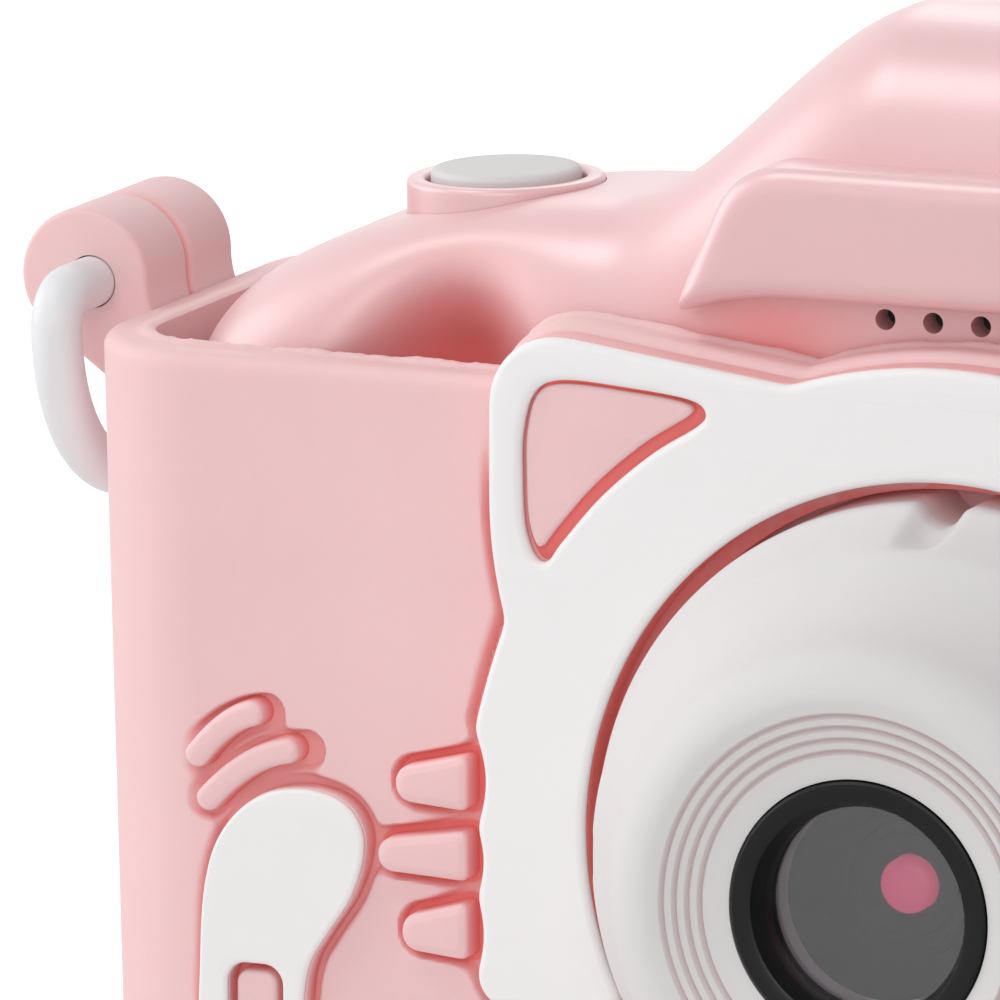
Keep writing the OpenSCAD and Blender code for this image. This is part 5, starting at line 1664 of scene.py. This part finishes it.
# The width of the painted shade in the fine grooves, and how far forward it starts
GROOVE_SHADE_WIDTH, GROOVE_SHADE_PLACE = 0.12, -25
RING_ROOM = 0.06
SEAT, SEAT_BACK, SEAT_ROOM = -22.4, -20.6, 0.05
BARREL_ROOM = ((13.3, SEAT_BACK), (13.3, -15.7), (17.1, -15.7), (17.1, -6.8))
BARREL_STEPS = 360
FLUTE_DEPTH, FLUTE_HALF, FLUTE_POWER = 1.35, 1.5, 0.8
FLUTE_END, FLUTE_RUN = -18.2, 4


def barrel_outside(lens):
    """Outline of the barrel's outside, from the flange's back to the dish and its grooves."""
    dish = []
    for r in GROOVES:
        y = mix(DISH_FLOOR, DISH_RIM, (r - lens.ring) / (DISH_RADIUS - lens.ring))
        dish += [(r + out, y + sunk) for out, sunk in GROOVE]
    return [*BARREL, *dish, DISH_END, (lens.ring + RING_ROOM, DISH_FLOOR)]


def barrel_rings(lens, height):
    """Rings of the barrel, with four flutes in its outside."""
    cosine, sine = circle((0, 0), 1, BARREL_STEPS).T
    from_flute = (np.linspace(0, 360, BARREL_STEPS, endpoint=False) + 45) % 90 - 45
    across = np.radians(from_flute) * lens.flange
    flute = FLUTE_DEPTH * np.clip(1 - (across / FLUTE_HALF) ** 2, 0, 1) ** FLUTE_POWER
    inside = [(lens.ring + SEAT_ROOM, SEAT), (lens.ring_in, SEAT), (lens.ring_in, SEAT_BACK), *BARREL_ROOM]
    rows = [(r - flute * ease((y - FLUTE_END) / FLUTE_RUN), y) for r, y in barrel_outside(lens)]
    rows += [(np.full(BARREL_STEPS, r), y) for r, y in inside]
    return [np.column_stack([r * cosine, np.full(BARREL_STEPS, y), r * sine + height]) for r, y in rows]


RING_BACK, RING_FRONT = 23.4, 25.4
RING_EDGE = ((0, -0.1), (-0.06, 0.08), (-0.2, 0.18))
RING_LIP = ((6.45, 0.2), (6.3, 0.12), (6.2, -0.1))
RING_INSIDE = ((0.06, -0.9), (0, -1.1))
RING_STEPS, WINDOW_STEPS, HOLDER_STEPS, OBJECTIVE_STEPS = 160, 120, 128, 64
WINDOW_MIDDLE, WINDOW_EDGE = 0.3, 0.05
WINDOW_BACK, WINDOW_SIDE, WINDOW_FRONT = 22.4, 23.38, 23.4
HOLDER = (
    (1.72, 15.9),
    (1.72, 17.0),
    (1.95, 17.25),
    (2.9, 17.25),
    (3.0, 17.1),
    (3.5, 17.1),
    (3.6, 17.25),
    (4.15, 17.2),
    (4.2, 16.8),
    (12.8, 16.8),
    (12.8, 20.3),
    (13.1, 20.3),
    (13.1, 16.4),
    (4.2, 16.4),
    (4.2, 8.8),
    (1.72, 8.8),
)
HOLDER_FOOT, HOLDER_FOOT_ENDS = (7, 7, 0.6), (-4.8, -8.8)
OBJECTIVE_BACK, OBJECTIVE_EDGE = 16.1, 17.3
OBJECTIVE_TURNS = np.linspace(0.1, 1.5, 9)


class TOYCAM_OT_lens(bpy.types.Operator):
    """Makes the stepped barrel, the black ring, the window and the small lens"""

    bl_idname = "toycam.lens"
    bl_label = "Lens"

    def execute(self, context):
        lens, cat = scene_sizes("lens", "cat")
        z0 = cat.lens_height
        place = lens_place(z0)
        barrel = new_object("lens_barrel", *tube_mesh(barrel_rings(lens, z0)))

        # Painted shade in the fine grooves of the barrel's dish
        def in_groove(x, y, z):
            away = np.min([np.abs(np.hypot(x, z - z0) - r) for r in GROOVES], axis=0)
            return np.exp(-((away / GROOVE_SHADE_WIDTH) ** 2)) * (y < GROOVE_SHADE_PLACE)

        mark_painted_shade(barrel, in_groove)
        dress(smooth(barrel, 35), "lens_barrel", "white_plastic")
        ring = [
            (lens.ring_in, RING_BACK),
            (lens.ring, RING_BACK),
            *((lens.ring + out, RING_FRONT + rise) for out, rise in RING_EDGE),
            *((r, RING_FRONT + rise) for r, rise in RING_LIP),
            *((lens.ring_in + out, RING_FRONT + rise) for out, rise in RING_INSIDE),
        ]
        obj = new_object("lens_ring", *tube_mesh(lathe(ring, RING_STEPS, place)))
        dress(smooth(obj, 30), "lens_ring", "black_gloss")
        pane = [
            (WINDOW_MIDDLE, WINDOW_BACK),
            (lens.window, WINDOW_BACK),
            (lens.window, WINDOW_SIDE),
            (lens.window - WINDOW_EDGE, WINDOW_FRONT),
            (WINDOW_MIDDLE, WINDOW_FRONT),
        ]
        obj = new_object("lens_glass", *rings_mesh(lathe(pane, WINDOW_STEPS, place)))
        dress(smooth(obj, 5), "lens_glass", "window_glass")
        foot = [flat_ring(round_rect(*HOLDER_FOOT), y, z0) for y in HOLDER_FOOT_ENDS]
        cup = tube_mesh(lathe(HOLDER, HOLDER_STEPS, place))
        obj = new_object("lens_holder", *merged([cup, rings_mesh(foot)]))
        dress(smooth(obj, 30), "lens_holder", "holder_black")
        r = lens.objective
        dome = [(r, OBJECTIVE_BACK), (r, OBJECTIVE_EDGE)]
        dome += [(r * math.cos(a), OBJECTIVE_EDGE + r / 3 * math.sin(a)) for a in OBJECTIVE_TURNS]
        obj = new_object("objective_lens", *rings_mesh(lathe(dome, OBJECTIVE_STEPS, place)))
        dress(smooth(obj, 40), "objective_lens", "coated_lens")
        return {"FINISHED"}


# The back


KEY_FLANGE, KEY_EDGE, KEY_EDGE_PLACE = 0.8, 0.35, 0.25
KEY_FOOT, KEY_FLANGE_TOP, KEY_SIDE, KEY_MIDDLE = -2.8, -2.3, 0.2, (0.1, 0.48)
KEY_DISH = ((0.75, 0.585), (0.6, 0.55), (0.3, 0.5))
KEY_STEPS = 72
SCREEN_PANE = (23.3, 18.0, 2.55)
SCREEN_LEVELS = ((0.0, -1.2), (0.0, -0.15), (-0.05, -0.06), (-0.15, 0.0), (-2.0, 0.0))
FLAP_LEAF, FLAP_LEAST_CORNER, FLAP_MIDDLE = (3.2, 14, 0.5), 0.1, (16.15, 23)
FLAP_BACK, FLAP_FRONT, FLAP_EDGE = 48.3, 50.1, 0.3
FLAP_LEVELS = (
    (-FLAP_EDGE, FLAP_BACK),
    (0, FLAP_BACK + FLAP_EDGE),
    (0, FLAP_FRONT - FLAP_EDGE),
    (-0.1, FLAP_FRONT - 0.1),
    (-FLAP_EDGE, FLAP_FRONT),
    (-2.4, FLAP_FRONT),
)
FLAP_HINGE = (49.2, 12.9)
FLAP_RODS = ((0.6, 24, (7.8, 38.2)), (0.9, 32, (9.0, 37.0)))


def key_profile(r):
    """Outline of a round key with a flange, a round edge and a shallow dish."""
    flange = r + KEY_FLANGE
    foot = [(KEY_MIDDLE[0], KEY_FOOT), (flange, KEY_FOOT), (flange, KEY_FLANGE_TOP), (r, KEY_FLANGE_TOP)]
    edge = arc((r - KEY_EDGE, KEY_EDGE_PLACE), KEY_EDGE, 0, 85, 6)
    return [*foot, (r, KEY_SIDE), *edge, *((r * share, z) for share, z in KEY_DISH), KEY_MIDDLE]


def flap_parts():
    """The flap's leaf, its pin and its barrel."""
    rings = []
    for grow, x in FLAP_LEVELS:
        half_y, half_z, corner = (size + grow for size in FLAP_LEAF)
        leaf = round_rect(half_y, half_z, max(corner, FLAP_LEAST_CORNER)) + FLAP_MIDDLE
        rings.append(np.column_stack([np.full(len(leaf), x), leaf]))
    parts = [rings_mesh(rings)]
    for radius, count, ends in FLAP_RODS:
        line = circle(FLAP_HINGE, radius, count)
        parts.append(rings_mesh([np.column_stack([line, np.full(count, z)]) for z in ends]))
    return parts


class TOYCAM_OT_back(bpy.types.Operator):
    """Makes the rear keys, the screen window and the port flap"""

    bl_idname = "toycam.back"
    bl_label = "Keys, screen and flap"

    def execute(self, context):
        body, cat = scene_sizes("body", "cat")
        z0 = cat.lens_height
        for name, (x, z, r) in KEY_PLACES.items():

            def place(p):
                return np.column_stack([p[:, 0] + x, body.back + p[:, 2], p[:, 1] + z0 + z])

            obj = new_object(name, *rings_mesh(lathe(key_profile(r), KEY_STEPS, place)))
            dress(smooth(obj, 40), name, "white_plastic", name)
        rings = []
        for grow, rise in SCREEN_LEVELS:
            pane = round_rect(*(size + grow for size in SCREEN_PANE)) + SCREEN_MIDDLE
            rings.append(flat_ring(pane, body.back + rise, z0))
        obj = new_object("screen_window", *rings_mesh(rings))
        dress(smooth(obj, 40), "screen_window", "black_gloss")
        obj = new_object("port_flap", *merged(flap_parts()))
        dress(smooth(obj, 40), "port_flap", "satin_pink", "port_flap")
        return {"FINISHED"}


INNER_PIECES = {
    "switch_black": ("shutter_switch", "key_switches"),
    "speaker_black": ("speaker",),
    "board_green": ("sensor_board", "main_board"),
    "amber_film": ("sensor_ribbon",),
    "cell_foil": ("battery",),
    "red_sheath": ("battery_lead", "speaker_lead"),
    "plain_steel": ("lcd_module", "usb_socket", "card_socket", "shell_screws"),
}


class TOYCAM_OT_inside(bpy.types.Operator):
    """Gives the inner pieces their finishes"""

    bl_idname = "toycam.inside"
    bl_label = "Inner pieces"

    def execute(self, context):
        for look, nodes in INNER_PIECES.items():
            for node in nodes:
                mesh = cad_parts[node].data
                mesh.materials.clear()
                mesh.materials.append(finish(look))
        return {"FINISHED"}


# The stage


CAMERA_PLACE = (229.64, -623.45, 186.08)
CAMERA_AZIMUTH = 22.7603
CAMERA_ELEVATION = 11.4635
CAMERA_LENS, CAMERA_SENSOR = 432.0, 36
CAMERA_CLIP = (0.05, 50)
FLOOR_HALF, FLOOR_GREY, FLOOR_ROUGHNESS, FLOOR_GLOW = 3.0, (0.9, 0.9, 0.9, 1), 0.9, 0.5
WORLD_LIGHT, WORLD_SEEN = 0.4, 1.0
LAMP_TARGET = (0, 0, 0.04)
# Each lamp's name, place and size in metres, and its power in watts
LAMPS = (
    ("top_lamp", (-0.4, -0.25, 0.9), 0.36, 2.0),
    ("back_lamp", (-0.2, 0.75, 0.62), 0.5, 1.0),
    ("left_lamp", (-0.9, -0.1, 0.3), 0.7, 2.7),
    ("front_lamp", (0.15, -0.85, 0.45), 0.7, 2.4),
)


def area_lamp(name, place, size, power):
    """A round lamp that faces the object."""
    lamp = bpy.data.lights.new(name, "AREA")
    lamp.shape = "DISK"
    lamp.size = size
    lamp.energy = power
    obj = add_object(name, lamp)
    obj.location = Vector(place)
    obj.rotation_euler = (Vector(LAMP_TARGET) - Vector(place)).to_track_quat("-Z", "Y").to_euler()


def photo_camera():
    """The camera at the photo's place."""
    data = bpy.data.cameras.new("photo_camera")
    data.sensor_width = CAMERA_SENSOR
    data.lens = CAMERA_LENS
    data.clip_start, data.clip_end = CAMERA_CLIP
    camera = add_object("photo_camera", data)
    a, e = math.radians(CAMERA_AZIMUTH), math.radians(CAMERA_ELEVATION)
    back = Vector((math.sin(a) * math.cos(e), -math.cos(a) * math.cos(e), math.sin(e)))
    camera.location = Vector(CAMERA_PLACE) * MM
    camera.rotation_euler = (-back).to_track_quat("-Z", "Y").to_euler()
    return camera


def studio_world():
    """A white world that lights less than it shows to the camera, in reflections and through glass."""
    world = bpy.data.worlds.new("studio")
    world.use_nodes = True
    tree = world.node_tree
    background = tree.nodes["Background"]
    background.inputs["Color"].default_value = (1, 1, 1, 1)
    path = add_node(tree, "LightPath").outputs
    seen = add_node(tree, "Math", {0: path["Is Camera Ray"], 1: path["Is Glossy Ray"]}, operation="MAXIMUM")
    through = add_node(
        tree, "Math", {0: seen.outputs[0], 1: path["Is Transmission Ray"]}, operation="MAXIMUM"
    )
    level = add_node(
        tree, "MapRange", {"Value": through.outputs[0], "To Min": WORLD_LIGHT, "To Max": WORLD_SEEN}
    )
    tree.links.new(level.outputs["Result"], background.inputs["Strength"])
    return world


def floor_white():
    """A white floor that the camera sees brighter than it lights."""
    material = bpy.data.materials.new("floor_white")
    material.use_nodes = True
    tree = material.node_tree
    shader = tree.nodes["Principled BSDF"]
    shader.inputs["Base Color"].default_value = FLOOR_GREY
    shader.inputs["Roughness"].default_value = FLOOR_ROUGHNESS
    path = add_node(tree, "LightPath")
    glow = add_node(tree, "Emission", {"Strength": FLOOR_GLOW})
    both = add_node(tree, "AddShader", {0: shader.outputs[0], 1: glow.outputs[0]})
    pick = add_node(
        tree, "MixShader", {0: path.outputs["Is Camera Ray"], 1: shader.outputs[0], 2: both.outputs[0]}
    )
    tree.links.new(pick.outputs[0], tree.nodes["Material Output"].inputs["Surface"])
    return material


class TOYCAM_OT_stage(bpy.types.Operator):
    """Makes the floor, the light and the camera"""

    bl_idname = "toycam.stage"
    bl_label = "Stage"

    def execute(self, context):
        scene = context.scene
        scene.view_settings.view_transform = "Standard"
        scene.camera = photo_camera()
        h = FLOOR_HALF
        mesh = bpy.data.meshes.new("floor")
        mesh.from_pydata([(-h, -h, 0), (h, -h, 0), (h, h, 0), (-h, h, 0)], [], [(0, 1, 2, 3)])
        mesh.materials.append(floor_white())
        floor = add_object("floor", mesh)
        scene.world = studio_world()
        for lamp in LAMPS:
            area_lamp(*lamp)
        return {"FINISHED"}


class TOYCAM_PT_panel(bpy.types.Panel):
    """Lists the steps that make the toy camera"""

    bl_idname = "TOYCAM_PT_panel"
    bl_label = "Toy camera"
    bl_space_type = "VIEW_3D"
    bl_region_type = "UI"
    bl_category = "Toy camera"

    def draw(self, context):
        for step in STEPS:
            self.layout.operator(step.bl_idname)
        for name in GROUPS:
            box = self.layout.box()
            group = getattr(context.scene, "toycam_" + name)
            for label in group.__annotations__:
                box.prop(group, label)


STEPS = (
    TOYCAM_OT_stage,
    TOYCAM_OT_sleeve,
    TOYCAM_OT_cat,
    TOYCAM_OT_loops,
    TOYCAM_OT_body,
    TOYCAM_OT_brow,
    TOYCAM_OT_shutter,
    TOYCAM_OT_lens,
    TOYCAM_OT_back,
    TOYCAM_OT_inside,
)
GROUPS = {"sleeve": SleeveSizes, "cat": CatSizes, "body": BodySizes, "lens": LensSizes, "finish": Finishes}


def register():
    for group in GROUPS.values():
        bpy.utils.register_class(group)
    for name, group in GROUPS.items():
        setattr(bpy.types.Scene, "toycam_" + name, PointerProperty(type=group))
    for step in (*STEPS, TOYCAM_PT_panel):
        bpy.utils.register_class(step)


def unregister():
    for step in (TOYCAM_PT_panel, *reversed(STEPS)):
        bpy.utils.unregister_class(step)
    for name in GROUPS:
        delattr(bpy.types.Scene, "toycam_" + name)
    for group in reversed(tuple(GROUPS.values())):
        bpy.utils.unregister_class(group)


def main():
    register()
    for step in STEPS:
        area, name = step.bl_idname.split(".")
        getattr(getattr(bpy.ops, area), name)()
    bpy.context.view_layer.update()


if __name__ == "__main__":
    main()
